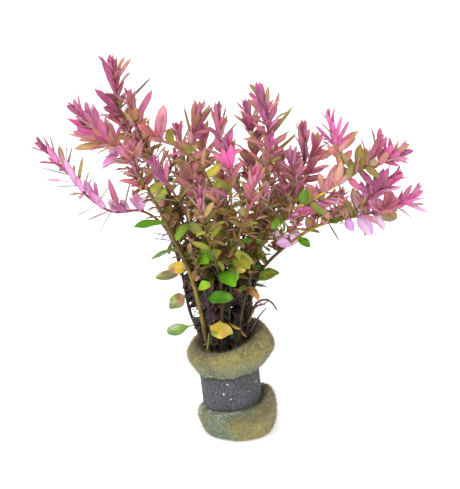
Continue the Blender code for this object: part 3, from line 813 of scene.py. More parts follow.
# each stem: its slot in the plug (mm from the middle, degrees), its colouring, its leaves and its
# route from the plug's mouth to its tip in mm. Heights are in mm too
stems = {
    "shoot_long_left": dict(slot=(6.2, 180), mood="lilac", bark="redBrown", spread=1.5, needles=0.5,
                            sprigs=0.1, skip=0.35, lowest=104, route=[
        (-18, 0, 48), (-24, 4, 61), (-28, 8, 80), (-35, 11, 100), (-47, 11, 110),
        (-61, 9, 110), (-73, 7, 118), (-85, 6, 133), (-97, 4, 146)]),
    "shoot_left_front": dict(slot=(6.2, 210), mood="magenta", bark="darkBark", foot=1.3, fresh=0.6,
                             bright=(60, 86), glow=0.4, lowest=120, spread=0.8, route=[
        (-15, -6, 47), (-18, -10, 64), (-23, -13, 85), (-31, -14, 103), (-40, -14, 122),
        (-50, -13, 139), (-58, -12, 148), (-68, -11, 157), (-78, -9, 166)]),
    "shoot_left_pink": dict(slot=(3.0, 180), mood="hot", spread=0.85, route=[
        (-13, -2, 46), (-19, -1, 68), (-25, 0, 87), (-36, 2, 109), (-47, 4, 129),
        (-55, 4, 139), (-66, 2, 149), (-77, 0, 157)]),
    "shoot_left_tall": dict(slot=(6.2, 150), mood="magenta", size=1.08, spread=0.85, route=[
        (-15, 5, 47), (-16, 8, 65), (-22, 11, 85), (-32, 13, 109), (-42, 13, 132),
        (-51, 12, 146), (-57, 11, 158), (-59, 9, 173), (-61, 8, 185)]),
    "shoot_left_inner": dict(slot=(3.0, 120), mood="bronze", spread=0.85, sprigs=0.45, route=[
        (-12, 3, 48), (-15, 4, 66), (-20, 4, 89), (-31, 4, 115), (-42, 3, 140),
        (-48, 0, 153), (-50, -2, 163), (-52, -3, 171)]),
    "shoot_left_magenta": dict(slot=(6.2, 240), mood="plum", bark="purpleBrown", lowest=114, sprigs=0,
                               route=[
        (-12, -10, 48), (-15, -16, 74), (-21, -22, 98), (-25, -27, 120),
        (-33, -30, 133), (-40, -32, 146)]),
    "shoot_arching": dict(slot=(6.2, 270), mood="bronze", bark="redOlive", foot=1.1, bare=(126, 158),
                          young=5, spread=1.5, sprigs=0.15, lowest=90, route=[
        (-8, -10, 47), (-8, -14, 73), (-10, -18, 102), (-12, -22, 127), (-18, -24, 141),
        (-27, -25, 149), (-36, -27, 153), (-44, -28, 159)]),
    "shoot_mid_left": dict(slot=(3.0, 240), mood="bronze", sprigs=0.5, route=[
        (-9, -5, 48), (-12, -1, 72), (-17, 2, 103), (-23, 1, 129), (-24, 0, 143),
        (-20, -1, 155), (-18, -1, 165)]),
    "shoot_mid_low": dict(slot=(3.0, 60), mood="bronze", sprigs=0.7, spread=0.85, route=[
        (-8, 4, 48), (-10, 9, 72), (-15, 14, 101), (-17, 15, 129), (-16, 14, 153)]),
    "shoot_mid_tall": dict(slot=(0, 0), mood="magenta", route=[
        (-7, 0, 48), (-7, -2, 74), (-7, -5, 110), (-8, -6, 139), (-10, -6, 165)]),
    "shoot_mid_pink": dict(slot=(3.0, 300), mood="hot", bark="olive", foot=0.8, sprigMood="bronze",
                           lowest=86, route=[
        (-5, -5, 46), (-4, -12, 72), (-3, -24, 108), (-4, -31, 137), (-5, -34, 156)]),
    "shoot_right_tall": dict(slot=(3.0, 0), mood="magenta", bark="bronze", foot=1.15, size=1.08,
                             sprigs=0.5, route=[
        (-3, 0, 49), (1, 0, 75), (7, 0, 106), (14, -2, 131), (14, -4, 153), (9, -5, 175)]),
    "shoot_right_tall_back": dict(slot=(6.2, 60), mood="plum", sprigs=0.7, spread=0.85, route=[
        (-2, 6, 49), (-1, 12, 72), (4, 17, 103), (8, 19, 128), (7, 20, 148), (3, 20, 163)]),
    "shoot_right_upright": dict(slot=(6.2, 30), mood="rosy", sprigs=0.5, route=[
        (1, 4, 50), (5, 9, 74), (13, 16, 101), (25, 20, 119), (32, 20, 130),
        (33, 19, 140), (31, 18, 152)]),
    "shoot_right_short": dict(slot=(6.2, 0), mood="rosy", sprigs=0.6, route=[
        (3, 0, 51), (7, 1, 75), (14, 4, 102), (26, 6, 119), (34, 6, 132), (38, 4, 149)]),
    "shoot_right_yellow": dict(slot=(6.2, 300), mood="pale", bark="olive", bright=(119, 132), glow=0.9,
                               bare=(116, 133), spread=0.8, sprigs=0.6, route=[
        (0, -9, 49), (3, -12, 72), (11, -15, 101), (22, -16, 115), (39, -16, 125),
        (54, -15, 134), (63, -13, 143), (67, -12, 153)]),
    "shoot_right_low": dict(slot=(6.2, 330), mood="pale", bark="redOlive", bright=(99, 108), glow=0.6,
                            bare=(84, 108), foot=1.15, spread=0.75, sprigs=0.5, lowest=98, route=[
        (4, -5, 51), (6, -7, 70), (11, -8, 85), (24, -7, 98), (39, -5, 107),
        (57, -3, 111), (75, -1, 115), (88, 0, 123)]),
    "shoot_back": dict(slot=(6.2, 90), mood="bronze", sprigs=0.6, route=[
        (-5, 10, 50), (-3, 22, 68), (1, 38, 94), (5, 50, 114), (7, 56, 128)]),
    "shoot_back_left": dict(slot=(6.2, 120), mood="bronze", sprigs=0.6, route=[
        (-9, 9, 50), (-13, 20, 71), (-20, 36, 97), (-26, 46, 118), (-31, 50, 146)]),
}

# side shoots: the stem that each one leaves, where, its colouring and its own route
branches = {
    "branch_star": dict(stem="shoot_right_yellow", fork=(47, -16, 129), mood="star", size=0.88, route=[
        (48, -15, 139), (44, -14, 152), (41, -14, 164)]),
    "branch_outer": dict(stem="shoot_right_yellow", fork=(59, -14, 138), mood="magenta", route=[
        (69, -13, 141), (80, -11, 146)]),
    "branch_magenta": dict(stem="shoot_right_low", fork=(56, -3, 111), mood="magenta", route=[
        (62, -5, 120), (70, -7, 128), (77, -8, 134)]),
    "branch_inner": dict(stem="shoot_right_low", fork=(25, -7, 99), mood="bronze", route=[
        (29, -8, 110), (28, -10, 124), (24, -12, 145)]),
    "branch_back_right": dict(stem="shoot_right_tall_back", fork=(1, 15, 88), mood="bronze", route=[
        (8, 27, 100), (17, 38, 114), (23, 44, 134)]),
    "branch_front": dict(stem="shoot_mid_pink", bark="redOlive", foot=0.6, fork=(-3, -22, 99),
                         mood="rosy", size=0.85, route=[
        (1, -33, 112), (5, -42, 127), (8, -50, 145)]),
    "branch_front_left": dict(stem="shoot_arching", fork=(-9, -16, 88), mood="bronze", route=[
        (-12, -29, 100), (-16, -40, 118), (-18, -47, 134)]),
}

# what the outer faces of a shoot's leaves may be coloured, from the bud down: bud, young, middle.
# The upper faces and all older leaves take the common lists below
moods = {
    "magenta": [["plum", "magenta", "orchid", "mauve"],
                ["magenta", "rose", "mauve", "mauve", "dustyPink"],
                ["mauve", "salmon", "dustyPink", "rose", "dustyBrown", "oliveTan"]],
    "hot": [["magenta", "hotPink", "plum"],
            ["hotPink", "magenta", "rose", "mauve"],
            ["rose", "dustyPink", "mauve", "peach"]],
    "lilac": [["plum", "magenta", "rose"],
              ["mauve", "orchid", "lavender"],
              ["lavender", "orchid", "mauve"],
              ["lavender", "paleLilac", "orchid", "olive"]],
    "plum": [["plum", "magenta"],
             ["plum", "magenta", "mauve", "rose"],
             ["redBrown", "mauve", "rose"]],
    "bronze": [["rose", "mauve", "redBrown"],
               ["salmon", "rose", "mauve", "dustyPink", "dustyBrown"],
               ["dustyPink", "dustyBrown", "salmon", "oliveTan", "bronze"]],
    "rosy": [["magenta", "rose"],
             ["rose", "mauve", "dustyPink"],
             ["salmon", "rose", "dustyPink", "oliveTan"]],
    "pale": [["magenta", "orchid"],
             ["orchid", "rose", "dustyPink", "mauve"],
             ["dustyPink", "mauve", "salmon", "peach", "oliveTan"],
             ["dustyPink", "lavender", "oliveTan", "salmon", "peach", "olive"]],
    "star": [["orchid", "hotPink"],
             ["hotPink", "orchid", "mauve"],
             ["magenta", "rose", "dustyPink", "oliveTan"]],
}
commonTones = {
    "upper": [["magenta", "rose", "mauve", "oliveTan"],
              ["rose", "dustyPink", "dustyBrown", "mauve", "oliveTan"],
              ["dustyPink", "dustyBrown", "salmon", "mauve", "oliveBrown", "oliveTan"],
              ["dustyBrown", "oliveBrown", "oliveTan", "yellowGreen", "bronze", "olive", "olive"],
              ["olive", "oliveGreen", "yellowGreen", "oliveBrown", "green", "darkOlive", "oliveGreen"]],
    "under": [[], [], [], ["dustyBrown", "redBrown", "bronze", "oliveBrown", "olive", "oliveTan"],
              ["olive", "oliveGreen", "oliveBrown", "umber", "bronze", "darkOlive"]],
}

leaf = {
    "length": 12.4 * mm,
    "width": 3.0 * mm,
    "thickness": 0.2 * mm,
    "firstGap": 2.4 * mm,  # between the two youngest whorls
    "gapGrowth": 1.3,
    "gapMost": 5.2 * mm,
    "splayLeast": 13,  # degrees from the stem
    "splayMost": 66,
    "splayReach": 17 * mm,  # how far from the tip the leaves take to open
    "lift": 0.55,  # how much the leaves on a leaning stem turn to the light
    "lowest": 66 * mm,  # no leaves under this height
    "needles": 0.13,  # share of leaves that stay narrow and grey
    "sprigsFrom": 100 * mm,  # no side sprigs under this height
    "openFront": 0.5,  # share of a tip's front leaves that make way for those of the photograph
    "paintedGlow": 0.045,  # painted glow: how far the bright tones are paled towards white, for the light that the tissue scatters
    "zoneEnds": [5 * mm, 20 * mm, 42 * mm, 66 * mm],  # how far from the tip each age reaches
    "youngFrom": 138 * mm,  # over this height all leaves are young or middle-aged
    "brownUpTo": 130 * mm,  # under this they are older, and 22 mm lower the oldest
    "fallen": (0, 0, 0, 0.08, 0.3),  # share of leaves that each age has lost
    "fallenWhereBare": 0.85,
}


def zoneOf(fromTip, point, dice):
    # 0 at the bud to 4 for the oldest leaves: by the distance from the tip, and older lower down
    zone = sum(fromTip > end * dice.uniform(0.75, 1.25) for end in leaf["zoneEnds"])
    aside = max(0, abs(point.x + 8 * mm) - 26 * mm)  # the shoots that lean out are young lower down
    brown = leaf["brownUpTo"] - 0.5 * aside + dice.gauss(0, 5) * mm
    if point.z > leaf["youngFrom"]:
        zone = min(zone, 2)
    if point.z < brown and fromTip > 14 * mm:
        zone = max(zone, 3)
    if point.z < brown - 22 * mm and aside < 12 * mm:
        zone = 4
    return zone


# painted glow: pales the bright tones towards white, for the light that the tissue scatters
def paledByGlow(tone):
    return tone.lerp(Vector((1, 1, 1)), leaf["paintedGlow"] * min(1, 2 * tone.x))


def leafTones(mood, zone, dice):
    # the linear colours of a leaf: the under face at its base and tip, then the upper face
    lists = moods[mood]
    under = dice.choice(lists[zone] if zone < len(lists) else commonTones["under"][zone])
    upper = dice.choice(commonTones["upper"][zone])
    if zone < 3 and dice.random() < 0.4:
        upper = under
    light = dice.uniform(0.85, 1.3) if zone < 3 else dice.uniform(0.6, 1.1)
    underTone, upperTone = paledByGlow(paint[under] * light), paledByGlow(paint[upper] * light)
    faded = paint[dice.choice(("dustyBrown", "oliveTan"))] if zone < 3 else paint["olive"]
    share = dice.uniform(0.1, 0.35) if zone < 2 else dice.uniform(0.25, 0.65)
    if dice.random() < 0.5:  # half of the leaves are duller at the stalk, half at the tip
        return underTone.lerp(faded, share), underTone, upperTone.lerp(faded, share), upperTone
    return underTone, underTone.lerp(faded, share), upperTone, upperTone.lerp(faded, share)


def halfWidth(t, form):
    # half of the width at t along a blade, as a share of the widest
    if form == "lance":
        return 0.2 + 0.8 * math.sin(math.pi * (0.06 + 0.88 * t)) ** 0.65 if t < 1 else 0.06
    if form == "spoon":
        return 0.1 + 0.9 * max(0, math.sin(math.pi * (1.35 * t - 0.4))) ** 0.6 if t < 1 else 0.3
    if form == "oval":
        return 0.14 + 0.86 * math.sin(math.pi * (0.05 + 0.92 * t) ** 0.95) ** 0.65 if t < 1 else 0.06
    stalk = 0.14  # the old round leaves stand on a short stalk
    if t < stalk:
        return 0.12 + 0.25 * (t / stalk) ** 2
    reach = (t - stalk) / (1 - stalk)
    return max(0.04, 0.35 * (1 - reach) ** 3 + math.sin(math.pi * reach ** 0.88) ** 0.6)


def growLeaf(bm, base, along, outward, shape, tones):
    # one open blade: a grid that is bent away from the stem, folded at the rib and twisted
    grid = bmesh.ops.create_grid(bm, x_segments=4, y_segments=shape.get("rows", 5), size=0.5, calc_uvs=True)
    across = along.cross(outward).normalized()
    splay, bend, half = shape["splay"], shape["bend"], shape["width"] / 2
    under, upper = bm.verts.layers.float_color["tint"], bm.verts.layers.float_color["upper"]
    for vert in grid["verts"]:
        u, t = 2 * vert.co.x, vert.co.y + 0.5
        if abs(bend) > 1e-3:
            reach = (math.cos(splay) - math.cos(splay + bend * t)) / bend
            rise = (math.sin(splay + bend * t) - math.sin(splay)) / bend
        else:
            reach, rise = math.sin(splay) * t, math.cos(splay) * t
        turn = splay + bend * t
        heading = along * math.cos(turn) + outward * math.sin(turn)
        face = along * math.sin(turn) - outward * math.cos(turn)
        spin = Matrix.Rotation(shape["roll"] + shape["twist"] * t, 3, heading)
        side, face = spin @ across, spin @ face
        spread = half * halfWidth(t, shape["form"])
        lift = shape["fold"] * abs(u) * spread
        ripple = shape["ripple"] * spread * math.sin(9 * t + shape["phase"]) * u
        vert.co = (base + shape["length"] * (along * rise + outward * reach)
                   + side * (u * spread * math.cos(shape["fold"])) + face * (lift + ripple))
        rim = 1 - 0.22 * abs(u) ** 3
        vert[under] = (*(tones[0].lerp(tones[1], t) * rim), 1)
        vert[upper] = (*(tones[2].lerp(tones[3], t) * rim), 1)


def openLeafMesh():
    bm = bmesh.new()
    bm.verts.layers.float_color.new("tint")
    bm.verts.layers.float_color.new("upper")
    bm.loops.layers.uv.new("blade")
    return bm


def thicken(bm, thickness):
    # gives the open blades their thickness; the new faces are the upper ones
    count = len(bm.verts)
    bmesh.ops.solidify(bm, geom=bm.faces[:], thickness=thickness)
    tint, upper = bm.verts.layers.float_color["tint"], bm.verts.layers.float_color["upper"]
    for vert in bm.verts[count:]:
        vert[tint] = vert[upper]
    bm.verts.layers.float_color.remove(upper)


def growTube(bm, route, radii, colour, sides=8, pitch=3.0 * mm):
    # a round shoot or root along a route, closed at both ends
    tint = bm.verts.layers.float_color["tint"]
    count = max(3, round(route.length / pitch))
    _, direction = route.at(0)
    side = direction.orthogonal().normalized()
    corners = bmesh.ops.create_circle(bm, segments=sides, radius=1, cap_ends=True)["verts"]
    for n in range(count + 1):
        distance = route.length * n / count
        point, heading = route.at(distance)
        side = (direction.rotation_difference(heading) @ side).normalized()
        direction = heading
        if n > 0:
            grown = bmesh.ops.extrude_edge_only(bm, edges=edges)["geom"]
            fresh = {item for item in grown if isinstance(item, bmesh.types.BMVert)}
            corners = [next(e.other_vert(v) for e in v.link_edges if e.other_vert(v) in fresh)
                       for v in corners]
        edges = [bm.edges.get((a, b)) for a, b in zip(corners, corners[1:] + corners[:1])]
        for i, vert in enumerate(corners):
            spoke = Matrix.Rotation(math.tau * i / sides, 3, heading) @ side
            vert.co = point + spoke * radii(distance)
            vert[tint] = (*colour(distance), 1)
    cap = bmesh.ops.contextual_create(bm, geom=edges)["faces"]
    tip = bmesh.ops.poke(bm, faces=cap)["verts"][0]
    tip.co += direction * radii(route.length)


def giveStemSkin(bm, first):
    # the faces from the first one on are skin and not leaf
    for face in list(bm.faces)[first:]:
        face.material_index = 1


def whorlPlaces(route, lowest, spread):
    # distances along a shoot of its whorls, from the bud down
    places, gap = [route.length - 0.6 * mm], leaf["firstGap"]
    while places[-1] - gap > lowest:
        places.append(places[-1] - gap)
        gap = min(gap * leaf["gapGrowth"], leaf["gapMost"] * spread)
    return places


def shootLeafShape(fromTip, zone, size, dice):
    # the measures of one leaf on a shoot, by its age
    opened = 1 - math.exp(-fromTip / leaf["splayReach"])
    grown = 0.55 + 0.45 * (1 - math.exp(-fromTip / (3.5 * mm)))
    splay = leaf["splayLeast"] + (leaf["splayMost"] - leaf["splayLeast"]) * opened
    splay += dice.gauss(0, 10 if zone else 6)
    bend = dice.uniform(-10, 24) if zone else dice.uniform(-8, 10)
    shape = {
        "form": "lance", "splay": math.radians(splay), "bend": math.radians(bend),
        "length": leaf["length"] * grown * size * dice.uniform(0.76, 1.12),
        "width": leaf["width"] * (0.55 + 0.45 * grown) * size * dice.uniform(0.65, 1.25),
        "fold": dice.uniform(0.1, 0.5), "roll": dice.gauss(0, 0.3 if zone else 0.1),
        "twist": dice.gauss(0, 0.4), "ripple": 0.16, "phase": dice.uniform(0, 6),
    }
    if zone == 3:
        shape["length"] *= 0.8
        shape["width"] *= 0.8
        shape["bend"] += math.radians(dice.uniform(0, 40))
    if zone == 4:
        shape.update(form="oval", length=dice.uniform(5.5, 9) * mm, width=dice.uniform(2.2, 4) * mm,
                     splay=math.radians(dice.uniform(55, 105)), bend=math.radians(dice.uniform(0, 45)))
    return shape


def turnToLight(outward, along):
    # leaves on a leaning stem swing round it towards the top
    lifted = outward + leaf["lift"] * (up - along * up.dot(along))
    return lifted.normalized() if lifted.length > 0.1 else outward


def growWhorl(bm, point, along, turn, fromTip, plan, openFront, dice):
    side = along.orthogonal().normalized()
    count = 4 if fromTip < 40 * mm else 3
    low, high = plan.get("bare", (0, 0))
    for i in range(count):
        zone = zoneOf(fromTip, point, dice)
        missing = plan.get("skip", 0.06) + leaf["fallen"][zone] if fromTip > 16 * mm else 0
        if low * mm < point.z < high * mm:
            missing = leaf["fallenWhereBare"]
        outward = Matrix.Rotation(turn + math.tau * i / count + dice.uniform(-0.25, 0.25), 3, along) @ side
        outward = turnToLight(outward, along)
        if fromTip < 20 * mm and outward.y < 0.3:
            missing = openFront
        if dice.random() < missing:
            continue
        shape = shootLeafShape(fromTip, zone, plan.get("size", 1), dice)
        tones = leafTones(plan["mood"], zone, dice)
        if 1 <= zone <= 3 and dice.random() < plan.get("needles", leaf["needles"]):
            shape["width"] *= 0.33
            shape["length"] *= 1.25
            tones = [tone.lerp(paint["greyGreen"], 0.6) for tone in tones]
        growLeaf(bm, point + outward * (0.3 * mm), along, outward, shape, tones)


sprig = {
    "length": (9, 18),
    "whorls": (0.3, 2.4, 5.2, 8.6, 12.4),  # mm back from the tip
    "radius": 0.45 * mm,
    "leafSize": 0.75,
}


def growSprig(bm, tubes, point, along, mood, dice):
    # a short side shoot of young leaves out of an old joint
    outward = Matrix.Rotation(dice.uniform(0, math.tau), 3, along) @ along.orthogonal().normalized()
    outward = turnToLight(outward, along)
    length = dice.uniform(*sprig["length"]) * mm
    way = (along * dice.uniform(0.5, 1.1) + outward).normalized()
    tip = point + way * length + up * (0.3 * length)
    route = Route([point, point + way * (0.5 * length), tip])
    tubes.append(route)
    turn = dice.uniform(0, 1)
    for k, back in enumerate(sprig["whorls"]):
        if back * mm > route.length - 2 * mm:
            break
        here, heading = route.at(route.length - back * mm)
        side = heading.orthogonal().normalized()
        for i in range(3):
            zone = max(1, zoneOf(back * mm + 8 * mm, here, dice))
            spoke = Matrix.Rotation(turn + k + math.tau * i / 3, 3, heading) @ side
            shape = shootLeafShape(back * 2.0 * mm, min(zone, 3), sprig["leafSize"], dice)
            growLeaf(bm, here, heading, spoke, shape, leafTones(mood, zone, dice))


# single leaves that stand out in the photograph: across and down to their stalk and to their tip in
# pixels, the width in mm, and the colours at the stalk and the tip, or one colour for both
seenLeaves = {
    "shoot_long_left": [
        (67, 173, 59, 145, 3.2, "orchid", "olive"), (77, 184, 64, 159, 3.6, "lavender"),
        (78, 184, 83, 156, 2.0, "olive", "oliveTan"), (70, 168, 72, 146, 0.8, "greyGreen"),
        (57, 158, 49, 134, 0.8, "greyGreen"), (65, 177, 38, 167, 0.8, "greyGreen", "paleRoot"),
        (75, 189, 52, 187, 0.7, "greyGreen", "paleRoot"), (94, 201, 83, 180, 4.0, "orchid", "lavender"),
        (104, 211, 91, 192, 3.8, "lavender", "orchid"), (98, 203, 94, 181, 2.8, "mauve", "orchid"),
        (121, 206, 110, 177, 3.6, "rose", "mauve"), (129, 212, 107, 203, 4.0, "orchid", "mauve"),
        (123, 205, 131, 179, 0.9, "olive", "greyGreen"), (143, 211, 132, 189, 4.0, "lavender", "orchid"),
        (142, 211, 129, 197, 3.0, "mauve", "lavender"), (109, 213, 86, 220, 0.9, "orchid", "greyGreen"),
        (117, 211, 108, 198, 4.2, "lavender", "paleLilac"), (128, 210, 121, 199, 4.0, "orchid", "lavender"),
        (84, 191, 77, 176, 3.6, "lavender", "orchid"), (138, 209, 147, 197, 4.2, "orchid", "lavender"),
    ],
    "shoot_left_tall": [
        (110, 92, 101, 57, 3.2, "orchid", "plum"), (112, 84, 110, 55, 2.6, "plum", "magenta"),
        (114, 77, 117, 57, 2.2, "dustyBrown", "rose"), (115, 82, 131, 58, 2.2, "mauve", "dustyBrown"),
        (118, 97, 125, 78, 2.6, "rose"), (113, 114, 94, 88, 3.4, "mauve", "magenta"),
        (131, 107, 152, 76, 1.2, "greyGreen", "umber"), (119, 108, 126, 92, 3.0, "oliveTan", "olive"),
        (111, 113, 95, 90, 3.2, "rose", "mauve"), (114, 116, 106, 96, 3.4, "redBrown", "magenta"),
        (116, 104, 123, 94, 3.0, "oliveTan", "olive"), (131, 136, 119, 122, 4.0, "mauve", "rose"),
        (124, 126, 108, 114, 3.8, "rose", "salmon"), (137, 146, 150, 132, 4.2, "rose", "mauve"),
        (118, 124, 112, 110, 4.2, "redBrown", "plum"), (122, 122, 117, 105, 3.8, "rose", "redBrown"),
        (113, 104, 103, 94, 3.6, "plum", "mauve"), (128, 132, 122, 118, 4.0, "rose", "oliveTan"),
        (114, 106, 110, 93, 3.6, "plum", "redBrown"), (116, 109, 122, 97, 3.4, "redBrown", "plum"),
        (112, 118, 103, 107, 4.0, "rose", "plum"), (120, 118, 111, 104, 3.6, "plum", "rose"),
        (126, 128, 133, 114, 3.6, "mauve", "redBrown"),
    ],
    "shoot_left_inner": [
        (132, 123, 152, 90, 3.6, "mauve", "rose"), (129, 118, 131, 92, 3.0, "dustyBrown", "rose"),
        (128, 132, 141, 112, 3.2, "rose", "salmon"), (136, 141, 150, 126, 4.4, "salmon", "dustyBrown"),
        (142, 152, 128, 144, 4.0, "rose", "dustyBrown"),
        (148, 166, 141, 148, 3.8, "dustyBrown", "oliveTan"),
        (154, 180, 142, 168, 4.2, "salmon", "oliveTan"),
    ],
    "shoot_left_front": [
        (90, 113, 66, 105, 3.0, "rose", "plum"), (90, 111, 74, 98, 2.8, "mauve", "rose"),
        (104, 130, 82, 112, 4.0, "rose", "mauve"), (98, 113, 86, 101, 3.0, "plum", "mauve"),
        (150, 205, 166, 188, 4.2, "olive", "yellowGreen"), (120, 140, 104, 128, 4.2, "rose", "magenta"),
        (124, 148, 110, 134, 4.4, "bronze", "rose"), (136, 168, 126, 176, 3.8, "oliveTan", "dustyBrown"),
        (108, 120, 94, 106, 3.8, "rose", "plum"), (100, 121, 88, 116, 3.6, "magenta", "rose"),
        (126, 156, 116, 146, 4.0, "dustyPink", "orchid"), (171, 236, 152, 234, 0.6, "greyLilac"),
        (172, 241, 151, 238, 0.6, "greyLilac"), (92, 118, 76, 108, 3.6, "magenta", "plum"),
        (112, 130, 99, 118, 4.2, "magenta", "rose"), (118, 138, 110, 122, 4.2, "rose", "redBrown"),
        (146, 196, 158, 184, 4.6, "bronze", "salmon"), (152, 208, 163, 199, 4.6, "dustyBrown", "rose"),
        (142, 184, 152, 174, 4.4, "rose", "dustyBrown"), (158, 222, 169, 214, 4.6, "bronze", "redBrown"),
    ],
    "shoot_left_pink": [
        (103, 138, 66, 119, 3.4, "hotPink", "magenta"), (104, 138, 82, 124, 3.8, "hotPink"),
        (110, 144, 74, 149, 4.2, "peach", "oliveTan"), (106, 143, 78, 141, 3.6, "salmon", "peach"),
        (104, 138, 68, 134, 2.0, "dustyPink"), (118, 151, 103, 168, 4.6, "orchid", "lavender"),
        (119, 148, 108, 152, 3.4, "lavender"), (113, 150, 90, 132, 4.0, "rose", "salmon"),
        (122, 158, 136, 150, 3.6, "oliveTan", "rose"), (98, 134, 76, 127, 3.2, "hotPink", "magenta"),
        (96, 137, 72, 132, 2.8, "dustyPink", "rose"), (108, 141, 94, 128, 4.2, "hotPink"),
        (112, 146, 98, 136, 4.2, "magenta", "rose"),
    ],
    "shoot_arching": [
        (158, 142, 164, 104, 5.8, "rose", "dustyPink"), (160, 140, 163, 115, 2.4, "mauve", "rose"),
        (172, 144, 169, 128, 4.6, "yellowGreen", "olive"),
        (205, 177, 222, 163, 4.6, "yellowGreen", "yellow"), (190, 157, 185, 144, 4.4, "olive"),
        (186, 153, 199, 146, 3.6, "oliveTan", "olive"), (213, 231, 228, 226, 6.0, "olive", "oliveGreen"),
        (214, 265, 200, 249, 5.6, "green", "brightGreen"), (215, 270, 222, 261, 5.0, "yellowGreen"),
        (210, 190, 222, 182, 4.6, "olive", "yellowGreen"),
        (211, 198, 198, 192, 3.6, "oliveTan", "oliveBrown"),
    ],
    "shoot_mid_left": [
        (192, 136, 184, 106, 1.3, "oliveTan", "umber"), (197, 132, 193, 103, 2.4, "rose", "dustyBrown"),
        (198, 130, 201, 102, 2.0, "mauve", "rose"), (200, 124, 211, 105, 2.0, "dustyBrown", "oliveTan"),
        (189, 182, 185, 160, 5.0, "rose", "dustyBrown"), (193, 190, 176, 177, 4.6, "rose", "salmon"),
        (187, 166, 174, 160, 4.0, "oliveTan"), (190, 160, 205, 152, 3.8, "dustyBrown", "rose"),
        (196, 205, 182, 200, 3.6, "olive"), (190, 173, 201, 161, 4.4, "rose", "salmon"),
        (190, 179, 179, 170, 4.4, "dustyPink", "rose"), (192, 151, 182, 140, 4.0, "salmon", "dustyBrown"),
        (196, 140, 206, 129, 3.6, "mauve", "rose"), (194, 194, 205, 184, 4.6, "oliveBrown", "oliveTan"),
    ],
    "shoot_left_magenta": [
        (161, 186, 150, 159, 3.8, "plum"), (162, 187, 153, 171, 2.8, "orchid", "magenta"),
        (163, 183, 167, 160, 2.6, "mauve", "rose"), (160, 182, 156, 162, 2.6, "plum", "redBrown"),
        (190, 221, 203, 233, 5.2, "oliveGreen", "olive"),
    ],
    "shoot_mid_low": [
        (203, 147, 203, 124, 4.4, "magenta", "plum"), (204, 160, 214, 146, 4.0, "rose", "dustyBrown"),
        (203, 170, 193, 158, 4.0, "bronze", "rose"), (204, 153, 195, 141, 4.0, "rose", "oliveTan"),
        (204, 167, 214, 156, 4.4, "bronze", "salmon"), (205, 180, 196, 169, 4.6, "dustyBrown", "rose"),
        (205, 192, 214, 181, 4.6, "olive", "yellowGreen"),
    ],
    "shoot_mid_tall": [
        (225, 180, 213, 166, 4.4, "redBrown", "rose"), (226, 186, 238, 172, 4.4, "bronze", "rose"),
        (226, 198, 215, 190, 4.6, "olive", "oliveTan"), (228, 197, 224, 180, 5.0, "olive", "yellowGreen"),
        # two very dark leaves down in the plug's mouth: old leaves, darkened further as painted shade
        (213, 338, 231, 347, 6.5, "darkGreen"), (216, 350, 229, 339, 5.0, "darkGreen", "mudAndShade"),
        (221, 140, 215, 107, 2.6, "mauve", "rose"), (223, 132, 228, 105, 1.1, "greyGreen", "umber"),
        (226, 142, 239, 121, 1.0, "greyGreen"), (222, 146, 233, 128, 2.6, "rose", "mauve"),
        (224, 151, 215, 138, 4.0, "rose", "mauve"), (225, 161, 237, 150, 4.2, "salmon", "rose"),
        (226, 173, 216, 160, 4.6, "dustyBrown", "oliveTan"), (227, 191, 237, 182, 4.4, "oliveTan", "olive"),
    ],
    "shoot_mid_pink": [
        (226, 168, 230, 143, 4.2, "hotPink"), (227, 170, 222, 148, 3.2, "magenta", "hotPink"),
        (238, 250, 254, 264, 4.6, "yellowGreen", "olive"), (233, 266, 246, 270, 4.6, "olive", "yellow"),
        (229, 266, 238, 280, 6.4, "green", "brightGreen"),
        (224, 268, 233, 262, 5.0, "brightGreen", "green"), (233, 236, 246, 228, 4.8, "olive", "oliveBrown"),
        (230, 214, 218, 208, 4.4, "bronze", "olive"),
    ],
    "shoot_right_tall": [
        (268, 126, 257, 84, 3.2, "magenta", "plum"), (268, 122, 261, 84, 2.6, "plum", "magenta"),
        (267, 127, 250, 90, 2.6, "orchid", "hotPink"), (269, 120, 268, 85, 2.4, "mauve", "oliveTan"),
        (272, 128, 279, 91, 2.4, "oliveTan", "dustyBrown"), (275, 139, 294, 106, 1.8, "oliveTan", "olive"),
        (279, 157, 296, 132, 2.6, "olive", "oliveTan"), (274, 130, 279, 118, 2.4, "orchid"),
        (275, 156, 269, 134, 3.8, "orchid", "hotPink"), (270, 128, 265, 100, 2.4, "rose", "orchid"),
        (263, 181, 256, 160, 4.8, "olive", "yellowGreen"),
        (266, 180, 268, 162, 4.0, "oliveTan", "dustyBrown"), (266, 172, 280, 164, 3.8, "bronze", "rose"),
        (262, 186, 276, 178, 4.0, "redBrown", "dustyBrown"), (269, 124, 262, 107, 3.8, "rose", "orchid"),
        (272, 124, 277, 105, 3.4, "mauve", "rose"), (274, 134, 286, 118, 2.6, "oliveTan", "dustyBrown"),
        (276, 146, 287, 134, 3.6, "dustyPink", "salmon"), (274, 152, 264, 140, 4.0, "salmon", "oliveTan"),
        (272, 166, 262, 154, 4.4, "dustyBrown", "oliveTan"),
    ],
    "shoot_right_tall_back": [
        (250, 128, 245, 98, 2.8, "orchid", "plum"), (248, 131, 240, 110, 2.4, "dustyBrown", "oliveTan"),
        (256, 150, 249, 137, 5.2, "oliveTan", "dustyBrown"),
        (268, 158, 255, 143, 3.0, "magenta", "hotPink"), (252, 152, 250, 130, 5.8, "oliveTan", "peach"),
        (250, 164, 239, 149, 4.6, "rose", "salmon"), (251, 172, 262, 160, 4.2, "bronze", "salmon"),
        (250, 182, 240, 172, 4.4, "redBrown", "rose"), (251, 130, 258, 114, 3.8, "rose", "dustyBrown"),
        (249, 132, 243, 116, 3.6, "mauve", "plum"), (254, 138, 262, 125, 3.8, "salmon", "dustyBrown"),
        (251, 162, 241, 153, 4.4, "rose", "oliveTan"), (251, 178, 260, 169, 4.4, "bronze", "dustyBrown"),
    ],
    "shoot_right_upright": [
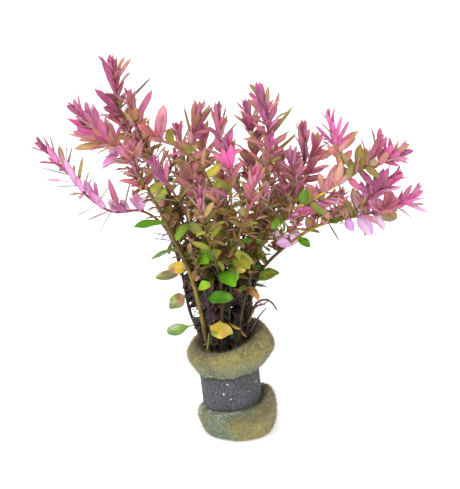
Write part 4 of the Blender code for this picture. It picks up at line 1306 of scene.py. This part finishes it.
        (295, 160, 304, 123, 3.4, "rose", "mauve"), (296, 158, 298, 125, 2.8, "mauve", "dustyPink"),
        (306, 164, 304, 139, 1.0, "purpleBrown"), (290, 172, 287, 150, 3.0, "redBrown", "rose"),
        (298, 176, 290, 166, 3.6, "rose", "bronze"), (288, 188, 278, 178, 4.0, "bronze", "rose"),
        (284, 196, 296, 188, 3.8, "redBrown", "rose"), (292, 172, 300, 158, 4.2, "salmon", "dustyPink"),
        (288, 182, 296, 170, 4.2, "dustyPink", "rose"), (290, 178, 280, 167, 4.2, "oliveTan", "salmon"),
        (284, 192, 275, 184, 4.4, "oliveBrown", "olive"),
    ],
    "shoot_right_short": [
        (311, 161, 317, 136, 2.8, "redBrown", "rose"), (313, 160, 325, 149, 2.4, "redBrown", "mauve"),
        (304, 172, 325, 168, 2.2, "magenta", "rose"), (303, 176, 309, 175, 2.6, "orchid", "hotPink"),
        (290, 207, 301, 195, 5.0, "salmon", "orchid"), (314, 160, 335, 151, 4.4, "rose", "dustyBrown"),
        (317, 190, 324, 176, 3.4, "redBrown", "rose"), (299, 206, 281, 216, 5.2, "oliveGreen", "green"),
        (293, 196, 305, 186, 4.0, "oliveBrown", "bronze"), (312, 166, 320, 156, 3.8, "rose", "dustyPink"),
        (308, 176, 299, 166, 4.2, "salmon", "rose"), (300, 190, 310, 180, 4.6, "dustyPink", "salmon"),
        (294, 200, 304, 191, 4.6, "olive", "oliveTan"),
    ],
    "shoot_right_yellow": [
        (356, 176, 350, 160, 4.4, "oliveTan", "olive"), (352, 178, 345, 168, 4.0, "dustyPink", "salmon"),
        (366, 172, 357, 160, 4.0, "oliveTan", "dustyBrown"), (362, 174, 372, 185, 3.8, "redBrown", "plum"),
        (350, 180, 359, 190, 3.6, "magenta", "rose"), (340, 186, 331, 172, 4.6, "salmon", "dustyPink"),
        (370, 169, 379, 178, 3.8, "oliveBrown", "olive"), (326, 190, 318, 178, 4.4, "rose", "salmon"),
        (335, 182, 341, 160, 4.6, "salmon", "peach"), (321, 184, 336, 164, 4.2, "rose", "salmon"),
        (320, 186, 318, 172, 3.0, "oliveTan", "salmon"), (345, 176, 352, 163, 4.2, "oliveTan", "olive"),
        (376, 165, 381, 134, 3.0, "magenta", "redBrown"), (378, 164, 388, 137, 3.4, "redBrown", "magenta"),
        (372, 165, 374, 147, 3.4, "oliveTan", "dustyBrown"), (313, 207, 325, 214, 3.4, "olive", "green"),
        (303, 205, 318, 192, 3.0, "oliveTan", "rose"), (358, 168, 361, 143, 5.4, "olive", "oliveBrown"),
        (355, 172, 341, 152, 4.2, "olive", "oliveTan"), (305, 206, 311, 189, 5.6, "oliveGreen", "olive"),
        (366, 165, 362, 150, 4.4, "rose", "dustyBrown"), (371, 170, 365, 147, 4.6, "salmon", "dustyBrown"),
        (346, 176, 337, 163, 4.0, "rose", "oliveTan"), (332, 190, 323, 178, 3.8, "dustyBrown", "salmon"),
        (317, 198, 308, 184, 4.4, "bronze", "rose"), (327, 184, 338, 163, 5.0, "rose", "salmon"),
        (286, 222, 298, 214, 4.0, "oliveBrown", "olive"),
    ],
    "branch_outer": [
        (383, 164, 394, 144, 3.8, "magenta", "hotPink"), (386, 161, 410, 144, 3.2, "rose", "dustyBrown"),
        (388, 161, 409, 158, 3.2, "rose", "orchid"), (383, 163, 402, 152, 3.6, "hotPink", "magenta"),
        (383, 166, 379, 145, 3.8, "redBrown", "rose"), (385, 165, 399, 167, 3.0, "rose", "magenta"),
        (381, 166, 388, 151, 3.8, "rose", "dustyBrown"),
        (378, 168, 368, 156, 4.2, "dustyBrown", "oliveTan"),
    ],
    "branch_star": [
        (336, 147, 325, 112, 3.2, "hotPink", "orchid"), (336, 147, 332, 121, 2.8, "hotPink"),
        (336, 145, 342, 115, 2.2, "hotPink", "orchid"), (337, 146, 350, 120, 2.0, "mauve"),
        (338, 147, 355, 131, 2.4, "hotPink", "rose"), (334, 147, 315, 125, 2.0, "mauve"),
        (341, 151, 356, 138, 3.6, "dustyPink", "salmon"),
        (344, 152, 360, 131, 3.8, "oliveTan", "dustyBrown"),
        (334, 150, 340, 168, 3.2, "dustyBrown", "salmon"),
        (338, 166, 331, 141, 4.6, "oliveTan", "dustyBrown"), (340, 164, 352, 150, 4.2, "salmon", "rose"),
        (337, 160, 326, 146, 3.8, "rose", "salmon"), (342, 158, 334, 143, 3.6, "dustyPink", "oliveTan"),
    ],
    "branch_front": [
        (254, 211, 254, 198, 2.8, "magenta", "hotPink"), (251, 200, 246, 182, 4.2, "redBrown", "rose"),
        (253, 204, 262, 188, 3.8, "rose", "bronze"), (248, 216, 240, 206, 4.0, "olive", "oliveBrown"),
    ],
    "branch_inner": [
        (302, 214, 311, 208, 5.0, "hotPink", "orchid"), (318, 216, 339, 197, 5.2, "rose", "salmon"),
        (312, 186, 300, 180, 3.4, "orchid", "rose"),
    ],
    "shoot_right_low": [
        (347, 216, 341, 201, 4.4, "salmon", "dustyPink"), (356, 213, 347, 199, 4.2, "olive", "oliveTan"),
        (380, 212, 374, 195, 4.2, "rose", "dustyPink"), (390, 210, 386, 197, 4.0, "dustyPink", "rose"),
        (387, 212, 397, 219, 4.8, "oliveTan", "dustyBrown"), (365, 213, 361, 197, 4.0, "olive", "salmon"),
        (322, 224, 330, 212, 4.6, "dustyPink", "peach"), (338, 219, 331, 207, 4.4, "hotPink", "dustyPink"),
        (312, 228, 306, 216, 4.4, "redBrown", "oliveBrown"), (403, 209, 414, 201, 3.0, "orchid", "hotPink"),
        (400, 209, 412, 184, 2.8, "magenta", "mauve"), (405, 209, 424, 191, 2.4, "hotPink"),
        (406, 209, 425, 204, 1.6, "dustyPink", "greyGreen"),
        (409, 210, 428, 212, 2.0, "orchid", "lavender"), (394, 209, 393, 191, 3.2, "rose"),
        (363, 213, 351, 187, 4.4, "lavender", "oliveTan"), (352, 214, 342, 196, 3.2, "olive", "oliveTan"),
        (346, 219, 354, 231, 5.0, "lavender", "violet"), (366, 220, 372, 235, 4.2, "paleLilac", "violet"),
        (376, 218, 384, 231, 3.8, "paleLilac"), (374, 216, 395, 220, 3.8, "oliveTan", "greyGreen"),
        (360, 222, 366, 237, 1.6, "greyGreen"), (329, 228, 340, 241, 1.0, "greyGreen"),
        (375, 212, 366, 192, 3.4, "orchid", "lavender"), (332, 222, 346, 213, 5.6, "oliveGreen", "green"),
        (361, 213, 351, 191, 4.2, "oliveTan", "rose"), (369, 210, 355, 189, 5.6, "orchid", "lavender"),
        (384, 210, 388, 187, 3.6, "redBrown", "rose"), (389, 212, 373, 204, 3.8, "rose", "salmon"),
        (369, 211, 358, 200, 4.0, "oliveTan", "dustyPink"),
        (384, 211, 376, 199, 4.0, "dustyPink", "orchid"), (392, 210, 398, 196, 3.6, "rose", "dustyPink"),
        (348, 216, 337, 205, 4.4, "salmon", "peach"), (330, 222, 322, 208, 4.4, "dustyPink", "salmon"),
        (318, 226, 312, 214, 4.2, "oliveBrown", "rose"), (398, 210, 392, 200, 3.4, "mauve", "rose"),
        (258, 277, 278, 272, 5.6, "oliveGreen", "green"), (298, 234, 275, 243, 7.2, "lavender"),
        (300, 233, 286, 226, 3.0, "oliveTan", "rose"),
    ],
    "branch_magenta": [
        (376, 196, 369, 182, 4.0, "rose", "mauve"), (381, 193, 374, 178, 3.6, "magenta", "redBrown"),
        (386, 193, 404, 174, 3.6, "magenta", "hotPink"), (386, 192, 388, 168, 3.6, "magenta", "orchid"),
        (374, 195, 374, 171, 2.4, "rose", "redBrown"), (382, 190, 394, 178, 3.0, "plum", "magenta"),
        (368, 202, 360, 180, 2.8, "mauve", "orchid"), (369, 186, 351, 183, 3.4, "plum", "magenta"),
        (372, 199, 367, 176, 3.6, "redBrown", "rose"), (378, 196, 380, 174, 3.6, "mauve", "magenta"),
        (380, 201, 384, 168, 3.4, "magenta", "mauve"), (384, 194, 401, 186, 3.4, "orchid", "lavender"),
    ],
}


def faceTowards(heading, facing):
    # where a blade looks that lies along the heading and is turned to the given way
    across = heading.cross(facing).normalized()
    return across.cross(heading).normalized()


def growSeenLeaf(bm, route, values, dice):
    # a leaf from the place on its stem that the photograph shows to the tip that it shows
    stalkX, stalkY, tipX, tipY, width, *tones = values

    def off(point):
        x, y = seen(point)
        return math.hypot(x - stalkX, y - stalkY)

    base = min(route.points, key=off)
    tip = pointAt((tipX, tipY), base.y + dice.uniform(-3.5, 1) * mm)
    heading = (tip - base).normalized()
    facing = Vector((dice.gauss(0, 0.35), -1, 0.35 + dice.gauss(0, 0.35)))
    face = faceTowards(heading, facing)
    shape = {
        "form": "lance" if width < 4.1 else "oval", "splay": math.radians(84),
        "bend": math.radians(dice.uniform(2, 14)), "length": (tip - base).length, "width": width * mm,
        "fold": dice.uniform(0.15, 0.4), "roll": 0, "twist": dice.gauss(0, 0.25), "ripple": 0.16,
        "phase": dice.uniform(0, 6), "rows": 6,
    }
    near, far = paledByGlow(paint[tones[0]]), paledByGlow(paint[tones[-1]])
    growLeaf(bm, base, face, heading, shape, (near * 0.9, far * 0.9, near, far))


bark = {
    "darkFrom": 114 * mm,  # where the stems start to darken, and how far that takes: older bark with painted shade of the crowded bunch over it
    "darkOver": 34 * mm,
    "darkest": 0.88,
    "young": 16,  # mm of pinkish shoot over the bark
}


def stemTint(fromTip, height, plan):
    # from the pinkish tip over the bark's own colour to a dark foot, which is older bark with painted shade
    # of the crowded bunch
    young = paint["redBrown"].lerp(paint["rose"], 0.3)
    share = clamped((fromTip - 5 * mm) / (plan.get("young", bark["young"]) * mm))
    # the foot's darkening is partly painted shade of the crowded bunch; fresh takes some of it off
    dark = clamped((bark["darkFrom"] - height) / bark["darkOver"]) * (1 - plan.get("fresh", 0))
    tone = young.lerp(paint[plan.get("bark", "darkBark")], share)
    if "bright" in plan:  # a stretch of young yellow bark
        low, high = plan["bright"]
        inside = clamped(min(height / mm - low, high - height / mm) / 6 + 0.6)
        tone = tone.lerp(paint["youngBark"], inside * plan.get("glow", 1))
    return tone.lerp(paint["mudAndShade"] * 0.6, bark["darkest"] * dark)


def makeShoot(name, plan, route, seed):
    dice = random.Random(seed)
    main = name in stems
    bm = openLeafMesh()
    tubes = []
    bare = plan.get("lowest", 0) * mm or leaf["lowest"]
    lowest = route.atHeight(bare) if route.points[0].z < bare else 5 * mm
    lowest += dice.uniform(0, 10) * mm
    places = whorlPlaces(route, lowest, plan.get("spread", 1))
    phase = dice.uniform(0, math.tau)
    openFront = leaf["openFront"] if name in seenLeaves else 0
    for k, place in enumerate(places):
        point, along = route.at(place)
        fromTip = route.length - place
        growWhorl(bm, point, along, phase + k * math.pi / 4, fromTip, plan, openFront, dice)
        older = fromTip > (36 if main else 24) * mm and point.z > leaf["sprigsFrom"]
        if older and dice.random() < plan.get("sprigs", 0.38):
            growSprig(bm, tubes, point, along, plan.get("sprigMood", plan["mood"]), dice)
    for values in seenLeaves.get(name, ()):
        growSeenLeaf(bm, route, values, dice)
    thicken(bm, leaf["thickness"])
    leafFaces = len(bm.faces)
    foot = plan.get("foot", 0.88 if main else 0.7) * mm

    def radii(distance):
        plain = foot + (0.42 * mm - foot) * (distance / route.length) ** 1.6
        joint = min(abs(distance - place) for place in places)
        return plain * (1 + 0.25 * math.exp(-(joint / (0.8 * mm)) ** 2))

    growTube(bm, route, radii, lambda d: stemTint(route.length - d, route.at(d)[0].z, plan))
    for twig in tubes:
        growTube(bm, twig, lambda d: sprig["radius"], lambda d: paint["oliveBrown"], sides=5, pitch=4 * mm)
    giveStemSkin(bm, leafFaces)
    slot = slotOf[name]
    made = newMesh(name + "_leaves", bm, [leafMaterials[slot], stemSkin])
    return standFor(made, slot, name)


def footOf(ringRadius, direction):
    # where a stem stands in the plug: its cut end, the ring's middle and the ring's upper edge
    middle = slotPoint(ringRadius * mm, direction, 0)
    foot = middle - holderAxis * ((middle.z - 2.3 * mm) / holderAxis.z)
    return [foot, middle, slotPoint(ringRadius * mm, direction, ring["height"] / 2)]


slotOf = {row["node"]: row["material_slot"] for row in frame["record"]["subparts"]}
tipTrim = 5 * mm  # the leaves' tips reach the routes' ends, so the stems end short of them
forkOut, forkUp = 3.9 * mm, 1.5 * mm  # how far a side shoot's first knot stands off the stem
routes = {}
for name, plan in stems.items():
    knots = footOf(*plan["slot"]) + [Vector(point) * mm for point in plan["route"]]
    routes[name] = Route(knots, trim=tipTrim)
for name, plan in branches.items():
    parent = routes[plan["stem"]]
    fork, forkWay = parent.at(parent.nearest(Vector(plan["fork"]) * mm))
    way = Vector(plan["route"][0]) * mm - fork
    outward = (way - forkWay * way.dot(forkWay)).normalized()
    knots = [fork, fork + outward * forkOut + forkWay * forkUp]
    routes[name] = Route(knots + [Vector(point) * mm for point in plan["route"]], trim=tipTrim)
for seed, name in enumerate(routes):
    makeShoot(name, stems.get(name) or branches[name], routes[name], seed + 11)
print("shoots made")


# old round leaves: the stem, the height of the joint, the way to the tip, the width, the way that
# the face looks, and the colours at the stalk and the tip
oldLeaves = {
    "leaf_green_left": ("shoot_left_front", 110, (-14, -1, -2), 5.6, (0, -1, 2), "leafGreen", "green"),
    "leaf_narrow_left": ("shoot_left_front", 98, (-12, -2, -5), 3.2, (1, -1, 3), "oliveGreen", "palerGreen"),
    "leaf_yellow_left": ("shoot_left_front", 88, (-9, -2, 1), 5.6, (0, -3, 1), "yellow", "oliveBrown"),
    "leaf_green_lobe": ("shoot_long_left", 68, (-8, -2, -5), 6.4, (0, -3, 1), "tan", "green"),
    "leaf_tan_left": ("shoot_long_left", 80, (-12, 0, -3), 4.8, (0, -3, 1), "greyGreen", "oliveGreen"),
    "leaf_low_left": ("shoot_long_left", 54, (-13, -1, -3), 6.4, (0, -3, 1), "leafGreen", "palerGreen"),
    "leaf_brown_fold": ("shoot_left_front", 82, (7, -5, 4), 5.2, (1, -2, 1), "umber", "orange"),
    "leaf_round_low": ("shoot_left_magenta", 77, (-1, -5, 6), 6.2, (0, -3, 2), "yellowGreen", "brightGreen"),
    "leaf_round_mid": ("shoot_left_magenta", 95, (6, -6, -1), 6.0, (0, -2, 2), "leafGreen", "brightGreen"),
    "leaf_bright_mid": ("shoot_arching", 86, (7, -10, -4), 6.8, (0, -2, 2), "green", "brightGreen"),
    "leaf_bright_low": ("shoot_left_magenta", 74, (12, -5, 1), 7.0, (0, -2, 2), "green", "green"),
    "leaf_mottled_low": ("shoot_arching", 60, (-1, -8, -7), 10.6, (0, -3, 1), "green", "yellowGreen"),
    "leaf_yellow_round": ("shoot_arching", 93, (-2, -6, 4), 5.4, (0, -3, 1), "yellowGreen", "yellowGreen"),
    "leaf_olive_mid": ("shoot_mid_pink", 96, (8, -6, -4), 5.8, (0, -2, 2), "olive", "yellowGreen"),
    "leaf_olive_small": ("shoot_right_yellow", 90, (-8, -5, -1), 4.4, (0, -2, 2), "olive", "yellow"),
    "leaf_brown_right": ("shoot_right_yellow", 78, (5, -6, -5), 5.2, (1, -2, 1), "umber", "tan"),
    "leaf_green_right": ("shoot_right_low", 83, (9, -4, 1), 5.6, (0, -2, 2), "yellowGreen", "olive"),
    "leaf_under_right": ("shoot_right_low", 101, (5, -5, -3), 4.6, (0, -2, 2), "brightGreen", "green"),
    "leaf_low_right": ("shoot_right_low", 109, (-6, -4, 2), 4.4, (0, -2, 2), "green", "olive"),
    "leaf_pale_right": ("shoot_right_low", 111, (6, -3, -8), 4.4, (0, -3, 1), "lavender", "paleLilac"),
    "leaf_pale_mid": ("shoot_right_short", 101, (8, 3, -4), 5.6, (0, -3, 1), "lavender", "paleLilac"),
    "leaf_over_left": ("shoot_left_magenta", 113, (-5, -6, -6), 5.2, (-1, -2, 1), "oliveGreen", "leafGreen"),
    "leaf_olive_front": ("shoot_arching", 107, (3, -9, -2), 5.2, (0, -2, 2), "olive", "oliveGreen"),
    "leaf_yellow_side": ("shoot_right_yellow", 120, (0, -5, 8), 4.6, (0, -3, 1), "oliveGreen", "green"),
    "leaf_green_joint": ("shoot_right_yellow", 115, (-6, -5, -5), 4.6, (0, -2, 2), "oliveGreen", "leafGreen"),
    "leaf_olive_top": ("shoot_right_yellow", 138, (-3, -4, 9), 5.0, (0, -3, 1), "oliveBrown", "olive"),
    "leaf_olive_joint": ("shoot_left_front", 125, (6, -4, 6), 4.6, (0, -3, 1), "yellowGreen", "olive"),
    "leaf_green_back": ("shoot_back", 80, (3, 9, -2), 5.4, (0, 1, 2), "green", "brightGreen"),
    "leaf_green_back_left": ("shoot_back_left", 84, (-6, 8, -2), 5.2, (0, 1, 2), "green", "olive"),
    "leaf_yellow_back": ("shoot_right_tall_back", 76, (6, 8, 1), 5.2, (0, 1, 2), "yellow", "olive"),
}
# old leaves of three colours in patches
mottled = {
    "leaf_mottled_low": ("tan", "yellow", "oliveGreen"),
    "leaf_brown_fold": ("umber", "orange", "umber"),
    "leaf_brown_right": ("umber", "tan", "umber"),
    "leaf_green_lobe": ("green", "greyGreen", "dustyBrown"),
    "leaf_yellow_left": ("yellow", "bronze", "umber"),
}
crumpled = {
    "leaf_mottled_low": 0.5,
    "leaf_brown_fold": 0.3,
    "leaf_brown_right": 0.3,
    "leaf_green_lobe": 0.25,
}


def crumple(bm, amount):
    # bends an old blade into the folds that it dried in
    for vert in bm.verts:
        push = Vector([noise.noise(vert.co * 260 + Vector((k * 9, 0, 0))) for k in range(3)])
        vert.co += push * (amount * 4 * mm)


def patchColours(bm, names, seed):
    # three colours in patches, over four fifths of the blade's own
    for vert in bm.verts:
        place = 1 + 3 * noise.noise(vert.co * 230 + Vector((seed, 0, 0)))
        first = 0 if place < 1 else 1
        tone = paint[names[first]].lerp(paint[names[first + 1]], clamped(place - first))
        for layer in bm.verts.layers.float_color.values():
            vert[layer] = (*(Vector(vert[layer][:3]) * 0.2 + 0.8 * tone), 1)


def makeOldLeaf(name, values, seed):
    stem, height, way, width, facing, nearTone, farTone = values
    dice = random.Random(seed)
    route = routes[stem]
    point, _ = route.at(route.atHeight(height * mm))
    way = Vector(way) * mm
    heading = way.normalized()
    face = faceTowards(heading, Vector(facing))
    bm = openLeafMesh()
    shape = {
        "form": "spoon" if name == "leaf_low_left" else "round",
        "splay": math.radians(80), "bend": math.radians(dice.uniform(12, 26)),
        "length": way.length * 1.08, "width": width * mm, "fold": dice.uniform(0.08, 0.22), "roll": 0,
        "twist": dice.gauss(0, 0.12), "ripple": 0.16, "phase": dice.uniform(0, 6), "rows": 12,
    }
    near, far = paint[nearTone], paint[farTone]
    growLeaf(bm, point, face, heading, shape, (near * 0.85, far * 0.85, near, far))
    if name in mottled:
        patchColours(bm, mottled[name], seed)
    crumple(bm, crumpled.get(name, 0.06))
    thicken(bm, 0.3 * mm)
    slot = slotOf[name]
    made = newMesh(name + "_blade", bm, [leafMaterials[slot]])
    smoother = made.modifiers.new("smoother", "SUBSURF")
    smoother.levels = smoother.render_levels = 1
    return standFor(made, slot, name)


for seed, (name, values) in enumerate(oldLeaves.items()):
    makeOldLeaf(name, values, seed + 400)
print("old leaves made")


# dead leaves and rootlets that are caught between the stems over the plug's mouth; their dark colours low
# down are partly painted shade of the deep bunch
litter = {
    "from": 44 * mm,
    "to": 116 * mm,
    "leaves": 780,
    "rootlets": 110,
    # the lowest are the darkest and the highest the palest: dead leaves' own colours, with painted shade the
    # deeper they lie
    "tones": ["mudAndShade", "darkGreen", "mudAndShade", "umber", "purpleBrown", "darkGreen"],
    "upperTones": ["umber", "darkOlive", "oliveBrown", "oliveGreen", "redBrown", "bronze"],
    "topTones": ["dustyBrown", "bronze", "oliveBrown", "oliveTan", "redBrown", "olive"],
    "upperFrom": 84 * mm,
    "topFrom": 99 * mm,
    "aside": (-39 * mm, 22 * mm),  # none farther to the left or right
    "clasping": 0.75,  # share of the upper ones that lie along these stems, on the outside
    "claspedStems": ("shoot_mid_pink", "shoot_left_magenta", "shoot_right_yellow", "shoot_mid_left"),
}


def inwards(point, along, dice):
    # a way out of a stem that points roughly to the middle of the bunch
    middle = Vector((0.07 * (litter["from"] - point.z) - 5 * mm, 3 * mm, point.z))
    way = (middle - point) / (8 * mm) + scatter(dice, 0.7)
    return (way - along * way.dot(along)).normalized()


def wander(start, heading, turn, sag, steps, dice):
    # a thin root's route, which turns a little at each of its four knots
    knots = [start]
    for _ in range(4):
        heading = (heading + scatter(dice, turn) - up * sag).normalized()
        knots.append(knots[-1] + heading * (dice.uniform(*steps) * mm))
    return Route(knots)


def growDeadLeaf(bm, names, dice):
    name = dice.choice(names)
    height = litter["from"] + (litter["to"] - litter["from"]) * dice.random() ** 1.25
    point, along = routes[name].at(routes[name].atHeight(height))
    if not litter["aside"][0] < point.x < litter["aside"][1]:
        return
    level = height + dice.gauss(0, 5) * mm
    tones = litter["topTones" if level > litter["topFrom"] else
                   "upperTones" if level > litter["upperFrom"] else "tones"]
    outward, splay = inwards(point, along, dice), dice.uniform(30, 120)
    clasps = dice.random() < litter["clasping"] and height > litter["upperFrom"]
    if clasps and name in litter["claspedStems"]:
        outward = Vector((dice.gauss(0, 0.6), -1, 0))
        outward, splay = (outward - along * outward.dot(along)).normalized(), dice.uniform(2, 22)
    shape = {
        "form": "oval", "splay": math.radians(splay), "bend": math.radians(dice.uniform(-40, 90)),
        "length": dice.uniform(5, 11) * mm, "width": dice.uniform(3, 6.4) * mm,
        "fold": dice.uniform(0.2, 0.9), "roll": dice.gauss(0, 0.8), "twist": dice.gauss(0, 0.9),
        "ripple": 0.35, "phase": dice.uniform(0, 6),
    }
    near = paint[dice.choice(tones)] * dice.uniform(0.5, 1.2)
    far = paint[dice.choice(tones)] * dice.uniform(0.5, 1.2)
    growLeaf(bm, point, along, outward, shape, (near, far, near, far))


def makeLitter():
    dice = random.Random(77)
    bm = openLeafMesh()
    names = [name for name in stems if "back" not in name]
    for _ in range(litter["leaves"]):
        growDeadLeaf(bm, names, dice)
    crumple(bm, 0.25)
    thicken(bm, leaf["thickness"])
    leafFaces = len(bm.faces)
    low, high = litter["from"] + 4 * mm, litter["upperFrom"] + 12 * mm
    for _ in range(litter["rootlets"]):
        route = routes[dice.choice(names)]
        point, along = route.at(route.atHeight(dice.uniform(low, high)))
        root = wander(point, inwards(point, along, dice), 0.6, 0.35, (2, 4), dice)
        radius = dice.uniform(0.12, 0.24) * mm
        tone = paint[dice.choice(litter["tones"])] * dice.uniform(0.6, 1.5)
        growTube(bm, root, lambda d: radius, lambda d: tone, sides=4, pitch=1.6 * mm)
    giveStemSkin(bm, leafFaces)
    made = newMesh("dead_leaves_and_rootlets", bm, [leafMaterials["tan"], stemSkin])
    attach(made, "root")


# dried strips: the stem, the height, the way out, the length, the width and bend, and the colour
strips = [
    ("shoot_mid_pink", 58, (0.4, -1, -0.4), 7, 2.0, 40, "oliveTan"),
    ("shoot_right_yellow", 56, (0.2, -1, -0.6), 6, 1.8, 30, "bronze"),
]
# dried strips whose runs the photograph shows: the pixels, the depth and thickness in mm, the colour
curls = [
    (((249, 321), (252, 312), (256, 304), (262, 300), (268, 300), (273, 304), (277, 310)),
     -7, 0.8, "purpleBrown"),
    (((250, 318), (254, 309), (259, 305), (264, 304), (268, 301)), -6, 0.65, "redBrown"),
    (((250, 333), (255, 323), (260, 315), (266, 308)), -6, 0.6, "purpleBrown"),
    (((247, 325), (251, 316), (253, 309)), -8, 0.65, "darkBark"),
    (((207, 350), (208.5, 342), (209, 334)), -11, 0.6, "oliveGreen"),
]
# thin pale roots: the stem, the heights in mm, the way out, the length and the colour
threads = [
    ("shoot_left_front", (97, 99.5, 102, 104.5, 106), (-1, 0, -0.05), 10, "greyLilac"),
    ("shoot_long_left", (109.8, 110.1, 111, 113, 124), (-0.1, -0.2, -1), 9, "greyLilac"),
    ("shoot_left_pink", (148, 151), (-0.3, 0, 1), 11, "greyGreen"),
    ("shoot_right_tall", (118, 126), (0.7, 0, 0.8), 12, "greyGreen"),
]
threadRadius = 0.17 * mm


def growStrip(bm, values, dice):
    stem, height, way, length, width, bend, tone = values
    point, _ = routes[stem].at(routes[stem].atHeight(height * mm))
    way = Vector(way).normalized()
    outward = Vector((1, -0.3, 0)).normalized()
    along = (way - outward * way.dot(outward)).normalized()
    shape = {
        "form": "lance", "splay": way.angle(along), "bend": math.radians(bend),
        "length": length * mm * 1.3, "width": width * mm, "fold": 0.5, "roll": 0.2,
        "twist": dice.gauss(0, 0.5), "ripple": 0.2, "phase": dice.uniform(0, 6), "rows": 10,
    }
    growLeaf(bm, point, along, outward, shape, [paint[tone]] * 4)


def makeStrips():
    dice = random.Random(5)
    bm = openLeafMesh()
    for values in strips:
        growStrip(bm, values, dice)
    thicken(bm, leaf["thickness"])
    leafFaces = len(bm.faces)
    for stem, heights, way, length, toneName in threads:
        for height in heights:
            point, _ = routes[stem].at(routes[stem].atHeight(height * mm))
            root = wander(point, Vector(way).normalized(), 0.16, 0, (0.18 * length, 0.3 * length), dice)
            growTube(bm, root, lambda d: threadRadius, lambda d: paint[toneName], sides=4, pitch=1.6 * mm)
    for pixels, depth, radius, toneName in curls:
        route = Route([pointAt(pixel, depth * mm) for pixel in pixels])
        growTube(bm, route, lambda d: radius * mm * (1 - 0.5 * d / route.length),
                 lambda d: paint[toneName], sides=6, pitch=1.5 * mm)
    giveStemSkin(bm, leafFaces)
    made = newMesh("dried_strips_and_threads", bm, [leafMaterials["tan"], stemSkin])
    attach(made, "root")


makeLitter()
makeStrips()
print("dead leaves and rootlets made")


light = {
    "room": 1.0,  # brightness of the white surroundings
    "floorSize": 5,
    "floorDrop": 0.2 * mm,  # the floor is a little under the foot
    "floorGlow": 0.3,
    "sun": 1.5,
    "sunFrom": (-0.45, -0.55, 0.8),
    "sunWidth": math.radians(50),
}


def makeStage():
    bm = bmesh.new()
    bmesh.ops.create_grid(bm, x_segments=1, y_segments=1, size=light["floorSize"])
    bmesh.ops.translate(bm, verts=bm.verts, vec=(0, 0, -light["floorDrop"]))
    material, tree, shader = startMaterial("paleFloor")
    shader.inputs["Base Color"].default_value = (0.92, 0.92, 0.92, 1)
    shader.inputs["Roughness"].default_value = 0.9
    shader.inputs["Specular IOR Level"].default_value = 0.1
    shader.inputs["Emission Color"].default_value = (1, 1, 1, 1)
    shader.inputs["Emission Strength"].default_value = light["floorGlow"]
    floor = newMesh("floor", bm, [material], smooth=False)


def makeLights():
    world = bpy.data.worlds.new("whiteRoom")
    bpy.context.scene.world = world
    world.use_nodes = True
    white = world.node_tree.nodes["Background"]
    white.inputs["Color"].default_value = (1, 1, 1, 1)
    white.inputs["Strength"].default_value = light["room"]
    lamp = bpy.data.lights.new("softSun", "SUN")
    lamp.energy = light["sun"]
    lamp.angle = light["sunWidth"]
    made = bpy.data.objects.new("softSun", lamp)
    made.rotation_euler = Vector(light["sunFrom"]).to_track_quat("Z", "Y").to_euler()
    bpy.context.scene.collection.objects.link(made)


def makeCamera():
    camera = bpy.data.objects.new("camera", bpy.data.cameras.new("camera"))
    tilt = photoView["elevation"]
    back = Vector((0, -math.cos(tilt), math.sin(tilt)))
    camera.location = photoView["aim"] + back * photoView["distance"]
    camera.rotation_euler = (-back).to_track_quat("-Z", "Y").to_euler()
    camera.data.lens = photoView["lens"]
    camera.data.sensor_width = photoView["sensor"]
    camera.data.clip_start = 0.01
    bpy.context.scene.collection.objects.link(camera)
    bpy.context.scene.camera = camera


makeStage()
makeLights()
makeCamera()
bpy.context.scene.view_settings.view_transform = "Standard"
print("stage, lights and camera ready")
